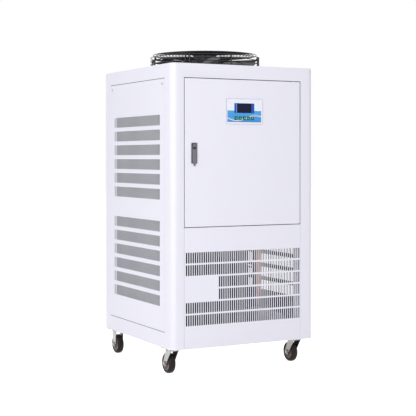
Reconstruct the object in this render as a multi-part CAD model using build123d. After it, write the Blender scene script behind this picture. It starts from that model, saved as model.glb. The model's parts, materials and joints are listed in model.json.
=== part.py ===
from build123d import *
import math
import os

# Recirculating water chiller on four castors, in millimetres.
# Origin on the floor under the middle of the whole outline, +X to the right, +Y to the rear, +Z up.

# Cabinet
cabinet_width = 600.0
cabinet_depth = 630.0
cabinet_height = 1030.0
castor_height = 100.0
corner_radius = 22.0
skin = 1.5
deck_edge_radius = 2.5
fold_gap = 0.3
door_gap = 2.5
panel_seam = 0.8
panel_gap = 2.2

# Posts and bands around the openings
post_left = 49.5
post_right = 57.5
post_front_side = 57.5
post_rear_side = 68.0
post_rear = 55.0
band_top = 51.5
band_bottom = 56.5
landing_width = 30.0
return_depth = 24.0
return_lip = 12.0

# Door and the rail under it
door_height = 537.0
door_depth = 18.0
door_lip = 10.0
door_edge_radius = 1.0
rail_drop = 40.0
rail_shelf = 130.0
gasket_width = 6.0

# Concealed pin hinges of the door
hinge_inset = 26.0
hinge_depth = 9.0
pin_radius = 3.0
pin_fit = 0.05
pin_length = 14.0
leaf_thickness = 2.0
swing_clearance = 26.0

# Punched slots
slot_width = 4.5
slot_height = 38.8
slot_pitch = 8.97
grille_rows = 6
grille_row_pitch = 45.2
grille_columns = 54
grille_left = 57.0
grille_bottom = 82.5
blank_columns = 15
blank_rows = (2, 3)
vent_rows = 6
vent_row_pitch = 54.3
vent_height = 39.0
vent_length = 420.0
vent_front = 101.0
vent_upper_bottom = 536.0
vent_lower_bottom = 147.5
vent_windows = 3
vent_rib = 4.5

# Fan, its ring and its wire guard
fan_radius = 200.0
tip_clearance = 5.0
fan_offset_y = 5.0
ring_depth = 55.0
ring_flange = 9.0
guard_radius = 219.5
guard_height = 67.0
guard_shoulder = 14.0
spoke_radius = 2.5
ring_wire = 3.0
side_ring_pitch = 12.5
side_rings = 4
top_ring_pitch = 18.0
guard_hub_radius = 52.0
leg_spread = 17.0
foot_length = 26.0
foot_width = 34.0
foot_thickness = 3.0
stator_radius = 46.0
stator_height = 22.0
motor_shaft_radius = 8.0
rotor_radius = 62.0
rotor_height = 62.0
rotor_gap = 1.0
blade_count = 5
blade_chord = 130.0
blade_tip_chord = 175.0
blade_thickness = 2.5
blade_root_angle = 38.0
blade_tip_angle = 20.0
blade_sweep = 24.0

# Controller
controller_width = 152.5
controller_height = 94.0
controller_x = -1.75
controller_z = 859.4
bezel_thickness = 3.0
bezel_corner = 4.0
controller_body_width = 134.0
controller_body_height = 78.0
controller_body_depth = 38.0
controller_wall = 2.0
cutout_clearance = 0.4
screen_width = 85.0
screen_height = 37.0
screen_x = -3.5
screen_z = 871.5
screen_thickness = 1.8
key_count = 5
key_pitch = 17.4
key_width = 12.0
key_height = 13.0
key_centre_x = -4.0
key_z = 834.7
key_proud = 1.0
key_travel = 1.0
key_clearance = 0.3
key_flange = 1.2

# Door lock
lock_x = -210.0
lock_top = 743.0
lock_width = 24.0
lock_height = 75.0
lock_plate = 2.5
lock_body_width = 18.0
lock_body_height = 70.0
lock_body_depth = 22.0
lock_wall = 2.0
handle_width = 17.0
handle_thickness = 4.5
handle_gap = 0.4
handle_tip_drop = 9.0
handle_pivot_drop = 23.0
handle_swing = 35.0
button_height = 11.0
button_travel = 3.0
bolt_width = 12.0
bolt_thickness = 6.0
bolt_throw = 10.0
bolt_reach = 8.5

# Castors
wheel_radius = 37.5
wheel_width = 25.0
hub_radius = 25.0
hub_flange = 29.0
axle_radius = 4.0
axle_fit = 0.05
fork_wall = 2.5
fork_side_gap = 1.5
castor_trail = 31.0
castor_inset_x = 38.0
front_castor_inset_y = 72.0
rear_castor_inset_y = 52.0
top_plate = 70.0
top_plate_thickness = 2.5
race_radius = 24.0
race_height = 6.0
swivel_gap = 0.3
kingpin_radius = 5.0
kingpin_fit = 0.05
bolt_spacing = 54.0
bolt_radius = 3.0
bolt_head = 5.0

# Base pan and rear panel fittings
pan_thickness = 2.0
pan_flange = 30.0
port_x = 190.0
port_z = 150.0
return_x = -150.0
return_z = 160.0
port_thread_radius = 13.2
port_bore_radius = 9.5
port_length = 30.0
port_nut_radius = 19.0
port_nut_length = 10.0
drain_x = -60.0
drain_z = 150.0
drain_bore_radius = 7.0
valve_stub = 6.0
valve_length = 52.0
valve_handle_length = 58.0
filler_z = 330.0
filler_radius = 24.0
filler_length = 28.0
cap_radius = 32.0
cap_height = 20.0
cap_grips = 8
gland_x = 190.0
gland_z = 480.0
gland_bore_radius = 6.0
gland_radius = 12.0
gland_length = 22.0

# Inside
coil_thickness = 30.0
coil_length = 440.0
coil_left_bottom = 115.0
coil_right_bottom = 500.0
coil_top = 900.0
coil_plate = 2.0
coil_standoff = 4.0
tank_width = 250.0
tank_length = 390.0
tank_height = 300.0
tank_front = 40.0
tank_left = 75.0
compressor_x = 85.0
compressor_offset_y = 212.0
compressor_radius = 78.0
compressor_height = 300.0
compressor_dome = 42.0
foot_pad_radius = 12.0
foot_pad_height = 14.0
foot_spacing = 150.0
pump_radius = 44.0
pump_front = 75.0
pump_length = 190.0
pump_foot = 8.0
hose_radius = 13.0
box_left = -205.0
box_right = 195.0
box_back = 185.0
box_height = 505.0
receiver_x = 235.0
receiver_offset_y = 0.0
receiver_radius = 19.0
receiver_height = 260.0
pipe_radius = 6.0
suction_radius = 8.0
capillary_radius = 4.0
pipe_bend = 30.0

# Screws
screw_radius = 3.0
screw_head_radius = 5.5
screw_head_height = 2.6
screw_length = 8.0
screw_inset = 20.0

# Planes and levels that follow from the sizes above
rear_reach = valve_stub + valve_length
front_reach = lock_plate + handle_gap + handle_thickness
middle_y = -(rear_reach - front_reach) / 2
left = -cabinet_width / 2
right = cabinet_width / 2
front = middle_y - cabinet_depth / 2
rear = middle_y + cabinet_depth / 2
floor_of_cabinet = castor_height
top = floor_of_cabinet + cabinet_height
deck_underside = top - skin
opening_left = left + post_left
opening_right = right - post_right
opening_top = top - band_top
door_left = opening_left + door_gap
door_right = opening_right - door_gap
door_top = opening_top - door_gap
door_bottom = door_top - door_height
rail_top = door_bottom - door_gap
return_back = front + return_depth
door_back = front + door_depth
hinge_x = door_right - hinge_inset
hinge_y = front + hinge_depth
side_front = front + post_front_side
side_rear = rear - post_rear_side
side_bottom = floor_of_cabinet + band_bottom
side_top = top - band_top
fan_y = middle_y + fan_offset_y
compressor_y = middle_y + compressor_offset_y
receiver_y = middle_y + receiver_offset_y
fan_hole_radius = fan_radius + tip_clearance + skin
pan_top = floor_of_cabinet + pan_thickness


def block(x0, x1, y0, y1, z0, z1):
    """A square-edged block between two corners."""
    centre = Pos((x0 + x1) / 2, (y0 + y1) / 2, (z0 + z1) / 2)
    return centre * Box(x1 - x0, y1 - y0, z1 - z0)


def rod(start, end, radius):
    """A round bar from one point to another."""
    axis = Vector(*end) - Vector(*start)
    return Solid.make_cylinder(radius, axis.length, Plane(origin=start, z_dir=axis))


def hexagon_bar(start, end, across):
    """A six-sided bar, as for bolt heads and nuts, between two points."""
    axis = Vector(*end) - Vector(*start)
    outline = Plane(origin=start, z_dir=axis) * RegularPolygon(across / 2, 6, major_radius=False)
    return extrude(outline, amount=axis.length, dir=axis)


def rounded_prism(width, depth, radius, z0, z1):
    """An upright prism with rounded corners, centred on the cabinet."""
    return extrude(Pos(0, middle_y, z0) * RectangleRounded(width, depth, radius), amount=z1 - z0)


def one(shape):
    """The single solid that a shape is made of."""
    found = shape.solids()
    return found[0] if len(found) == 1 else shape


def pipe(points, radius, bend):
    """A round tube, drawn solid, along straight runs joined by bends."""
    path = FilletPolyline(*points, radius=bend) if len(points) > 2 else Line(*points)
    start = Plane(origin=path @ 0, z_dir=path % 0)
    return one(sweep(start * Circle(radius), path=path))


def punched_sheet(frame, u0, u1, v0, v1, thickness, windows=(), holes=()):
    """A flat sheet on a plane, with windows (u, v, width, height) and round holes (u, v, radius)."""
    inner = []
    for u, v, width, height in windows:
        corners = ((u, v), (u + width, v), (u + width, v + height), (u, v + height))
        inner.append(Wire.make_polygon([frame.from_local_coords((a, b, 0)) for a, b in corners]))
    for u, v, radius in holes:
        centre = Plane(frame.from_local_coords((u, v, 0)), x_dir=frame.x_dir, z_dir=frame.z_dir)
        inner.append(Wire([Edge.make_circle(radius, centre)]))
    rim = ((u0, v0), (u1, v0), (u1, v1), (u0, v1))
    outer = Wire.make_polygon([frame.from_local_coords((a, b, 0)) for a, b in rim])
    return Solid.extrude(Face(outer, inner), frame.z_dir * thickness)


def ring_plate(x0, x1, y0, y1, z0, z1, width, axis):
    """A rectangular picture-frame plate, width wide inwards, lying across the given axis."""
    plate = block(x0, x1, y0, y1, z0, z1)
    if axis == "x":
        return plate - block(x0 - 1, x1 + 1, y0 + width, y1 - width, z0 + width, z1 - width)
    return plate - block(x0 + width, x1 - width, y0 - 1, y1 + 1, z0 + width, z1 - width)


def vent_windows_of(first, bottoms):
    """Window rows (u, v, width, height) of the vents, starting at u = first."""
    pitch = (vent_length + vent_rib) / vent_windows
    return [
        (first + column * pitch, bottom + row * vent_row_pitch, pitch - vent_rib, vent_height)
        for bottom in bottoms
        for row in range(vent_rows)
        for column in range(vent_windows)
    ]


def panel_screw_places():
    """Each case screw as (point on the sheet's outer face, outward direction)."""
    places = []
    high = side_top - screw_inset
    for y in (side_front + screw_inset, side_rear - screw_inset):
        places.append(((left, y, high), (-1, 0, 0)))
        places.append(((right, y, high), (1, 0, 0)))
    edge = right - post_rear - screw_inset
    for x in (-edge, edge):
        for z in (side_bottom + screw_inset, high):
            places.append(((x, rear, z), (0, 1, 0)))
    for angle in leg_angles():
        reach = guard_radius + foot_length / 2 + spoke_radius
        x, y = reach * math.cos(angle), fan_y + reach * math.sin(angle)
        places.append(((x, y, top + foot_thickness), (0, 0, 1)))
    return places


def leg_angles():
    """Directions of the guard's four double legs, from +X."""
    return [math.radians(45 + 90 * turn) for turn in range(4)]


def side_landing(x0, x1):
    """The recessed rim that a side panel lies on."""
    return ring_plate(
        x0,
        x1,
        side_front - landing_width / 2,
        side_rear + landing_width / 2,
        side_bottom - landing_width / 2,
        side_top + landing_width / 2,
        landing_width * 1.5,
        "x",
    )


def rail_profile():
    """Cross rail under the door: front web, ledge, stop lip and rear shelf, as one folded sheet."""
    web_front = front + skin
    lip_back = return_back + skin
    lip_top = rail_top + return_lip
    shelf_back = front + rail_shelf
    points = [
        (web_front, rail_top - rail_drop),
        (web_front + skin, rail_top - rail_drop),
        (web_front + skin, rail_top - skin),
        (shelf_back, rail_top - skin),
        (shelf_back, rail_top),
        (lip_back, rail_top),
        (lip_back, lip_top),
        (return_back, lip_top),
        (return_back, rail_top),
        (web_front, rail_top),
    ]
    return make_face(Plane.YZ * Polyline(*points, close=True))


def cabinet_frame():
    """Welded shell: rounded posts, top band, deck with the fan hole, returns, landings and cross rail."""
    outer = rounded_prism(cabinet_width, cabinet_depth, corner_radius, floor_of_cabinet, top)
    outer = fillet(outer.faces().sort_by(Axis.Z)[-1].edges(), deck_edge_radius)
    hollow = rounded_prism(
        cabinet_width - 2 * skin,
        cabinet_depth - 2 * skin,
        corner_radius - skin,
        floor_of_cabinet - 1,
        deck_underside,
    )
    shell = outer - hollow
    shell -= block(opening_left, opening_right, front - 1, front + corner_radius, 0, opening_top)
    shell -= block(left - 1, right + 1, side_front, side_rear, side_bottom, side_top)
    shell -= block(left + post_rear, right - post_rear, rear - skin - 1, rear + 1, side_bottom, side_top)
    shell -= rod((0, fan_y, deck_underside - 1), (0, fan_y, top + 1), fan_hole_radius)
    # Front returns and stop lips, left, right and top
    tube = block(
        opening_left - skin,
        opening_right + skin,
        front + skin,
        return_back + skin,
        floor_of_cabinet,
        opening_top + skin,
    )
    tube -= block(opening_left, opening_right, front, return_back, 0, opening_top)
    tube -= block(
        opening_left + return_lip,
        opening_right - return_lip,
        front,
        rear,
        0,
        opening_top - return_lip,
    )
    shell += tube
    for sheet_in in (left + skin, right - 2 * skin):
        shell += side_landing(sheet_in, sheet_in + skin)
    shell += ring_plate(
        left + post_rear - landing_width / 2,
        right - post_rear + landing_width / 2,
        rear - 2 * skin,
        rear - skin,
        side_bottom - landing_width / 2,
        side_top + landing_width / 2,
        landing_width * 1.5,
        "y",
    )
    span = opening_right - opening_left
    rail = extrude(Pos(opening_left, 0, 0) * rail_profile(), amount=span, dir=(1, 0, 0))
    # The pan's front flange and the castor bolts need the returns clear of the floor
    shell -= block(
        opening_left - 2 * skin,
        opening_right + 2 * skin,
        front + skin,
        return_back + 2 * skin,
        floor_of_cabinet - 1,
        floor_of_cabinet + pan_flange + 1,
    )
    shell += rail
    # The stop lips end short of the hinges, where the door's edge swings inwards
    shell -= block(
        hinge_x - swing_clearance,
        opening_right,
        return_back - fold_gap,
        return_back + skin + fold_gap,
        rail_top,
        opening_top,
    )
    for point, outward in panel_screw_places():
        axis = Vector(*outward)
        start = Vector(*point) + axis * 2
        shell -= rod(tuple(start), tuple(Vector(*point) - axis * 2 * screw_length), screw_radius + 0.2)
    for z0, z1 in ((opening_top - 1, opening_top + skin + 1), (rail_top - skin - 1, rail_top + 1)):
        shell -= rod((hinge_x, hinge_y, z0), (hinge_x, hinge_y, z1), pin_radius + pin_fit)
    return one(shell)


def base_pan():
    """Folded tray that closes the cabinet's underside and carries the castors and the machinery."""
    shrink = 2 * (skin + fold_gap)
    width, depth = cabinet_width - shrink, cabinet_depth - shrink
    radius = corner_radius - skin - fold_gap
    pan = rounded_prism(width, depth, radius, floor_of_cabinet, floor_of_cabinet + pan_flange)
    pan -= rounded_prism(
        width - 2 * pan_thickness,
        depth - 2 * pan_thickness,
        radius - pan_thickness,
        pan_top,
        floor_of_cabinet + pan_flange + 1,
    )
    for x, y in castor_bolt_places():
        pan -= rod((x, y, floor_of_cabinet - 1), (x, y, pan_top + 1), bolt_radius + 0.2)
    return one(pan)


def front_grille_panel():
    """Lower front panel with its rows of punched slots and folded side returns."""
    x0, x1 = opening_left + panel_seam, opening_right - panel_seam
    windows = []
    for row in range(grille_rows):
        start = blank_columns if row in blank_rows else 0
        for column in range(start, grille_columns):
            windows.append(
                (
                    left + grille_left + column * slot_pitch,
                    floor_of_cabinet + grille_bottom + row * grille_row_pitch,
                    slot_width,
                    slot_height,
                )
            )
    outside = Plane(origin=(0, front, 0), x_dir=(1, 0, 0), z_dir=(0, -1, 0))
    outside = outside.offset(-skin)
    bottom = floor_of_cabinet + panel_seam
    sheet = punched_sheet(outside, x0, x1, bottom, rail_top, skin, windows)
    fold_bottom = floor_of_cabinet + pan_flange + 2
    fold_top = rail_top - rail_drop - 2
    for edge in (x0, x1 - skin):
        sheet += block(edge, edge + skin, front + skin - 0.5, front + 14, fold_bottom, fold_top)
    return one(sheet)


def side_panel(outer_x, inward):
    """Flat removable side panel with two banks of vents; inward is +1 for the left one."""
    plane = Plane(origin=(outer_x, 0, 0), x_dir=(0, 1, 0), z_dir=(1, 0, 0))
    if inward < 0:
        plane = plane.offset(-skin)
    bottoms = (floor_of_cabinet + vent_lower_bottom, floor_of_cabinet + vent_upper_bottom)
    windows = vent_windows_of(front + vent_front, bottoms)
    high = side_top - screw_inset
    holes = [(y, high, screw_radius + 0.2) for y in (side_front + screw_inset, side_rear - screw_inset)]
    return punched_sheet(
        plane,
        side_front + panel_seam,
        side_rear - panel_seam,
        side_bottom + panel_gap,
        side_top - panel_gap,
        skin,
        windows,
        holes,
    )


def rear_panel():
    """Flat removable rear panel with one bank of vents and the holes for the fittings."""
    plane = Plane(origin=(0, rear, 0), x_dir=(1, 0, 0), z_dir=(0, -1, 0))
    x0, x1 = left + post_rear + panel_seam, right - post_rear - panel_seam
    windows = vent_windows_of(-vent_length / 2, (floor_of_cabinet + vent_upper_bottom,))
    edge = right - post_rear - screw_inset
    high = side_top - screw_inset
    holes = [(x, z, screw_radius + 0.2) for x in (-edge, edge) for z in (side_bottom + screw_inset, high)]
    holes += [(x, z, port_thread_radius + fold_gap) for x, z in port_places()]
    holes.append((drain_x, floor_of_cabinet + drain_z, drain_bore_radius + 3 + fold_gap))
    holes.append((return_x, floor_of_cabinet + filler_z, filler_radius + fold_gap))
    holes.append((gland_x, floor_of_cabinet + gland_z, gland_radius - 2 + fold_gap))
    return punched_sheet(
        plane, x0, x1, side_bottom + panel_gap, side_top - panel_gap, skin, windows, holes
    )


def case_screws():
    """Pan-head screws of the panels and of the guard, all alike."""
    screws = []
    for point, outward in panel_screw_places():
        base, axis = Vector(*point), Vector(*outward)
        head = rod(tuple(base), tuple(base + axis * screw_head_height), screw_head_radius)
        head = chamfer(head.faces().sort_by(Axis(tuple(base), outward))[-1].edges(), screw_head_height * 0.4)
        shank = rod(tuple(base - axis * screw_length), tuple(base + axis * 0.5), screw_radius)
        screws.append(one(head + shank))
    return screws


def fan_ring():
    """Spun inlet ring of the fan: flange on the deck, straight throat and flared lower lip."""
    throat = fan_radius + tip_clearance
    flare = 12.0
    low = top - ring_depth
    with BuildPart() as ring:
        with BuildSketch(Plane.XZ):
            with BuildLine():
                Polyline(
                    (throat, low + flare),
                    (throat, top + skin),
                    (throat + ring_flange, top + skin),
                    (throat + ring_flange, top),
                    (throat + skin, top),
                    (throat + skin, low + flare),
                )
                RadiusArc((throat + skin, low + flare), (throat + flare, low + skin), flare - skin)
                Line((throat + flare, low + skin), (throat + flare, low))
                RadiusArc((throat + flare, low), (throat, low + flare), -flare)
            make_face()
        revolve(axis=Axis.Z)
    return one(Pos(0, fan_y, 0) * ring.part)


def guard_spoke(reach, base_z):
    """One guard wire: up from the base, over the shoulder and in to the hub plate."""
    high = top + guard_height - spoke_radius
    path = FilletPolyline(
        (reach, 0, base_z), (reach, 0, high), (guard_hub_radius - 4, 0, high), radius=guard_shoulder
    )
    start = Plane(origin=path @ 0, z_dir=path % 0)
    return sweep(start * RegularPolygon(spoke_radius, 6), path=path)


def guard_ring(radius, z):
    """One ring wire of the guard, with a four-sided section."""
    section = Plane.XZ * Pos(radius, z) * Rectangle(ring_wire, ring_wire)
    return revolve(section, axis=Axis.Z)


def fan_guard():
    """Wire basket over the fan: four double legs, four single spokes, rings and a hub plate."""
    high = top + guard_height - spoke_radius
    leg = guard_radius - spoke_radius
    ring_offset = spoke_radius + ring_wire / 2 - 0.6
    wires = []
    for turn in range(4):
        for side in (-1, 1):
            shifted = Pos(0, side * leg_spread / 2, 0) * guard_spoke(leg, top + foot_thickness - 1)
            wires.append(Rot(0, 0, 45 + 90 * turn) * shifted)
        wires.append(Rot(0, 0, 90 * turn) * guard_spoke(leg, top + side_ring_pitch - spoke_radius))
        foot = block(
            leg - spoke_radius,
            leg + spoke_radius + foot_length,
            -foot_width / 2,
            foot_width / 2,
            top,
            top + foot_thickness,
        )
        hole_x = guard_radius + foot_length / 2 + spoke_radius
        foot -= rod((hole_x, 0, top - 1), (hole_x, 0, top + foot_thickness + 1), screw_radius + 0.2)
        wires.append(Rot(0, 0, 45 + 90 * turn) * foot)
    for step in range(side_rings):
        wires.append(guard_ring(leg - ring_offset, top + side_ring_pitch * (step + 1)))
    radius = leg - guard_shoulder
    while radius > guard_hub_radius + top_ring_pitch / 2:
        wires.append(guard_ring(radius, high - ring_offset))
        radius -= top_ring_pitch
    hub = rod((0, 0, high - spoke_radius), (0, 0, high + spoke_radius), guard_hub_radius)
    hub = fillet(hub.edges().sort_by(Axis.Z)[-1], 1.5)
    basket = hub.fuse(*[one(wire) for wire in wires])
    return one(Pos(0, fan_y, 0) * basket)


def fan_motor():
    """Fixed half of the external-rotor motor, hung under the guard's hub plate, with its shaft."""
    under = top + guard_height - 2 * spoke_radius
    body = rod((0, fan_y, under - stator_height), (0, fan_y, under), stator_radius)
    body = chamfer(body.edges().sort_by(Axis.Z)[0], 3)
    shaft_end = under - stator_height - rotor_gap - rotor_height + 6
    shaft = rod((0, fan_y, shaft_end), (0, fan_y, under - stator_height + 1), motor_shaft_radius)
    return one(body + shaft)


def blade_section(radius, chord, angle, sweep_angle):
    """Thin blade section standing across the radius, at its pitch and swept round."""
    plane = Plane(origin=(radius, 0, 0), x_dir=(0, 1, 0), z_dir=(1, 0, 0))
    outline = plane * (Rot(0, 0, angle) * Rectangle(chord, blade_thickness))
    return Rot(0, 0, sweep_angle) * outline


def fan_rotor():
    """Rotor can with its pressed, twisted and swept blades."""
    under = top + guard_height - 2 * spoke_radius - stator_height - rotor_gap
    low = under - rotor_height
    can = rod((0, 0, low), (0, 0, under), rotor_radius)
    can = fillet(can.edges().sort_by(Axis.Z)[0], 10)
    middle = (low + under) / 2
    roots = blade_section(rotor_radius - 8, 58, blade_root_angle, 0)
    mid_angle = (blade_root_angle + blade_tip_angle) / 2
    mid = blade_section((rotor_radius + fan_radius) / 2, blade_chord, mid_angle, blade_sweep / 2)
    tips = blade_section(fan_radius - 8, blade_tip_chord, blade_tip_angle, blade_sweep)
    blade = loft([roots.face(), mid.face(), tips.face()])
    blade &= rod((0, 0, -80), (0, 0, 80), fan_radius)
    rotor = can
    for turn in range(blade_count):
        rotor += Pos(0, 0, middle) * Rot(0, 0, turn * 360 / blade_count) * blade
    rotor -= rod((0, 0, low + 4), (0, 0, under + 1), motor_shaft_radius + axle_fit)
    return one(Pos(0, fan_y, 0) * rotor)


def hinge_leaves_frame():
    """Two fixed hinge pins with their plates, above and below the door."""
    leaves = []
    for level, down in ((opening_top + skin, -1), (rail_top - skin, 1)):
        plate_end = level - down * leaf_thickness
        plate = block(
            hinge_x - 14,
            hinge_x + 14,
            hinge_y - 5,
            hinge_y + 11,
            min(level, plate_end),
            max(level, plate_end),
        )
        pin = rod((hinge_x, hinge_y, plate_end), (hinge_x, hinge_y, level + down * pin_length), pin_radius)
        leaves.append(one(plate + pin))
    return leaves


def hinge_leaves_door():
    """Two bushed hinge plates inside the door's top and bottom folds."""
    leaves = []
    for level, down in ((door_top - skin, -1), (door_bottom + skin, 1)):
        plate_end = level + down * leaf_thickness
        plate = block(
            hinge_x - 14, hinge_x + 14, hinge_y - 6, hinge_y + 7, min(level, plate_end), max(level, plate_end)
        )
        bush = rod((hinge_x, hinge_y, level), (hinge_x, hinge_y, level + down * 8), pin_radius + 2.5)
        leaf = plate + bush
        below, above = level - down, level + down * 9
        leaf -= rod((hinge_x, hinge_y, below), (hinge_x, hinge_y, above), pin_radius + pin_fit)
        leaves.append(one(leaf))
    return leaves


def door():
    """Folded door tray with the cut-outs for the controller and the lock."""
    tray = block(door_left, door_right, front, door_back, door_bottom, door_top)
    tray = fillet(tray.faces().sort_by(Axis.Y)[0].edges(), door_edge_radius)
    tray -= block(
        door_left + skin,
        door_right - skin,
        front + skin,
        door_back - skin,
        door_bottom + skin,
        door_top - skin,
    )
    tray -= block(
        door_left + door_lip,
        door_right - door_lip,
        front + skin,
        door_back + 1,
        door_bottom + door_lip,
        door_top - door_lip,
    )
    # Hinge corners, where the lip is notched for the leaves
    for level in (door_top, door_bottom):
        below, above = level - 2 * skin, level + 2 * skin
        tray -= rod((hinge_x, hinge_y, below), (hinge_x, hinge_y, above), pin_radius + 2.8)
    half_w = controller_body_width / 2 + cutout_clearance
    half_h = controller_body_height / 2 + cutout_clearance
    centre_z = floor_of_cabinet + controller_z
    tray -= block(
        controller_x - half_w,
        controller_x + half_w,
        front - 1,
        front + 2 * skin,
        centre_z - half_h,
        centre_z + half_h,
    )
    half_w = lock_body_width / 2 + cutout_clearance
    middle = floor_of_cabinet + lock_top - lock_height / 2
    half_h = lock_body_height / 2 + cutout_clearance
    low, high = middle - half_h, middle + half_h
    tray -= block(lock_x - half_w, lock_x + half_w, front - 1, front + 2 * skin, low, high)
    return one(tray)


def door_gasket():
    """Rubber strip round the back of the door, facing the frame's stop lip."""
    inset = 1.0
    return one(
        ring_plate(
            door_left + inset,
            door_right - inset,
            door_back,
            return_back - fold_gap,
            door_bottom + inset,
            door_top - inset,
            gasket_width,
            "y",
        )
    )


def key_places():
    """Middle of each controller key along X."""
    first = key_centre_x - key_pitch * (key_count - 1) / 2
    return [first + key_pitch * index for index in range(key_count)]


def controller_housing():
    """Moulded controller case: rounded bezel on the door and a hollow body behind it."""
    centre_z = floor_of_cabinet + controller_z
    face = Plane(origin=(controller_x, front, centre_z), x_dir=(1, 0, 0), z_dir=(0, -1, 0))
    outline = RectangleRounded(controller_width, controller_height, bezel_corner)
    bezel = extrude(face * outline, bezel_thickness)
    bezel = fillet(bezel.faces().sort_by(Axis.Y)[0].edges(), 1.2)
    half_w, half_h = controller_body_width / 2, controller_body_height / 2
    body = block(
        controller_x - half_w,
        controller_x + half_w,
        front,
        front + controller_body_depth,
        centre_z - half_h,
        centre_z + half_h,
    )
    wall = controller_wall
    cavity = block(
        controller_x - half_w + wall,
        controller_x + half_w - wall,
        front,
        front + controller_body_depth - wall,
        centre_z - half_h + wall,
        centre_z + half_h - wall,
    )
    case = bezel + body - cavity
    screen_level = floor_of_cabinet + screen_z
    case -= block(
        screen_x - screen_width / 2,
        screen_x + screen_width / 2,
        front - bezel_thickness - 1,
        front - bezel_thickness + screen_thickness,
        screen_level - screen_height / 2,
        screen_level + screen_height / 2,
    )
    half_w, half_h = key_width / 2 + key_clearance, key_height / 2 + key_clearance
    level = floor_of_cabinet + key_z
    for x in key_places():
        outside = front - bezel_thickness - 1
        case -= block(x - half_w, x + half_w, outside, front + 1, level - half_h, level + half_h)
    return one(case)


def controller_screen():
    """Display window let into the bezel."""
    level = floor_of_cabinet + screen_z
    half_w, half_h = screen_width / 2 - 0.15, screen_height / 2 - 0.15
    outer = front - bezel_thickness
    return block(
        screen_x - half_w,
        screen_x + half_w,
        outer + 0.2,
        outer + screen_thickness,
        level - half_h,
        level + half_h,
    )


def controller_key(x):
    """One push key: a rounded cap with a retaining flange behind the bezel."""
    level = floor_of_cabinet + key_z
    outer = front - bezel_thickness - key_proud
    face = Plane(origin=(x, front + 1, level), x_dir=(1, 0, 0), z_dir=(0, -1, 0))
    cap = extrude(face * RectangleRounded(key_width, key_height, 1.5), front + 1 - outer)
    cap = chamfer(cap.faces().sort_by(Axis.Y)[0].edges(), 0.5)
    half_w, half_h = key_width / 2 + 1.2, key_height / 2 + 1.2
    flange = block(
        x - half_w,
        x + half_w,
        front + fold_gap,
        front + fold_gap + key_flange,
        level - half_h,
        level + half_h,
    )
    return one(cap + flange)


def lock_levels():
    """Heights of the lock plate's top, bottom and the handle's pivot."""
    high = floor_of_cabinet + lock_top
    return high, high - lock_height, high - handle_pivot_drop


def latch_housing():
    """Cast lock body: rimmed face plate, recess for the handle's ears, button well and bolt tunnel."""
    high, low, pivot = lock_levels()
    face = Plane(origin=(lock_x, front, (high + low) / 2), x_dir=(1, 0, 0), z_dir=(0, -1, 0))
    plate = extrude(face * RectangleRounded(lock_width, lock_height, 3), lock_plate)
    plate = fillet(plate.faces().sort_by(Axis.Y)[0].edges(), 0.8)
    half = lock_body_width / 2
    middle = (high + low) / 2
    body_back = return_back + skin + fold_gap + bolt_thickness + lock_wall
    body = block(
        lock_x - half,
        lock_x + half,
        front,
        body_back,
        middle - lock_body_height / 2,
        middle + lock_body_height / 2,
    )
    case = plate + body
    recess = handle_width / 2 - lock_wall + 0.3
    case -= block(lock_x - recess, lock_x + recess, front - lock_plate - 1, front + 8, pivot - 8, pivot + 6)
    ends = lock_x - half + 0.4, lock_x + half - 0.4
    case -= rod((ends[0], front + 2, pivot), (ends[1], front + 2, pivot), 1.5 + pin_fit)
    button_top = high - 4 + key_clearance
    well = handle_width / 2 + key_clearance - lock_wall
    case -= block(
        lock_x - well,
        lock_x + well,
        front - lock_plate - 1,
        front + 10,
        high - 4 - button_height - key_clearance,
        button_top,
    )
    tunnel_front = return_back + skin + fold_gap - 0.1
    case -= block(
        left,
        lock_x + half - lock_wall,
        tunnel_front,
        tunnel_front + bolt_thickness + 0.2,
        middle - bolt_width / 2 - 0.1,
        middle + bolt_width / 2 + 0.1,
    )
    return one(case)


def latch_button():
    """Push button above the handle that frees it."""
    high, _, _ = lock_levels()
    half = handle_width / 2 - lock_wall
    button = block(
        lock_x - half, lock_x + half, front - lock_plate - 2, front + 6, high - 4 - button_height, high - 4
    )
    return one(fillet(button.faces().sort_by(Axis.Y)[0].edges(), 0.8))


def latch_handle():
    """Flush paddle with a shield-shaped lower end, turning on a pin near its top."""
    high, low, pivot = lock_levels()
    outer = front - lock_plate - handle_gap - handle_thickness
    tip = low - handle_tip_drop
    half = handle_width / 2
    upper = pivot - 2
    outline = Polyline(
        (lock_x - half, upper),
        (lock_x + half, upper),
        (lock_x + half, low + 12),
        (lock_x + 1.5, tip),
        (lock_x - 1.5, tip),
        (lock_x - half, low + 12),
        close=True,
    )
    back = Plane(origin=(0, outer + handle_thickness, 0), x_dir=(1, 0, 0), z_dir=(0, -1, 0))
    face = make_face(back * outline)
    paddle = extrude(face, handle_thickness, dir=(0, -1, 0))
    paddle = chamfer(paddle.faces().sort_by(Axis.Y)[0].edges(), 1.4)
    ear = half - lock_wall
    stem = block(lock_x - ear, lock_x + ear, outer + handle_thickness - 0.5, front + 2, pivot - 7, pivot + 2)
    stem += rod((lock_x - ear, front + 2, pivot), (lock_x + ear, front + 2, pivot), 3.6)
    pin_half = lock_body_width / 2 - 0.8
    pin = rod((lock_x - pin_half, front + 2, pivot), (lock_x + pin_half, front + 2, pivot), 1.5)
    return one(paddle + stem + pin)


def latch_bolt():
    """Sliding bolt that is thrown behind the frame's stop lip."""
    high, low, _ = lock_levels()
    middle = (high + low) / 2
    face_y = return_back + skin + fold_gap
    thrown = opening_left + return_lip - bolt_reach
    tip = thrown + bolt_throw
    bolt = block(
        tip,
        lock_x + lock_body_width / 2 - lock_wall - 1,
        face_y,
        face_y + bolt_thickness,
        middle - bolt_width / 2,
        middle + bolt_width / 2,
    )
    nose = bolt.edges().filter_by(Axis.Z).sort_by(Axis.X)[:2].sort_by(Axis.Y)[-1]
    return one(chamfer(nose, 3))


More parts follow.
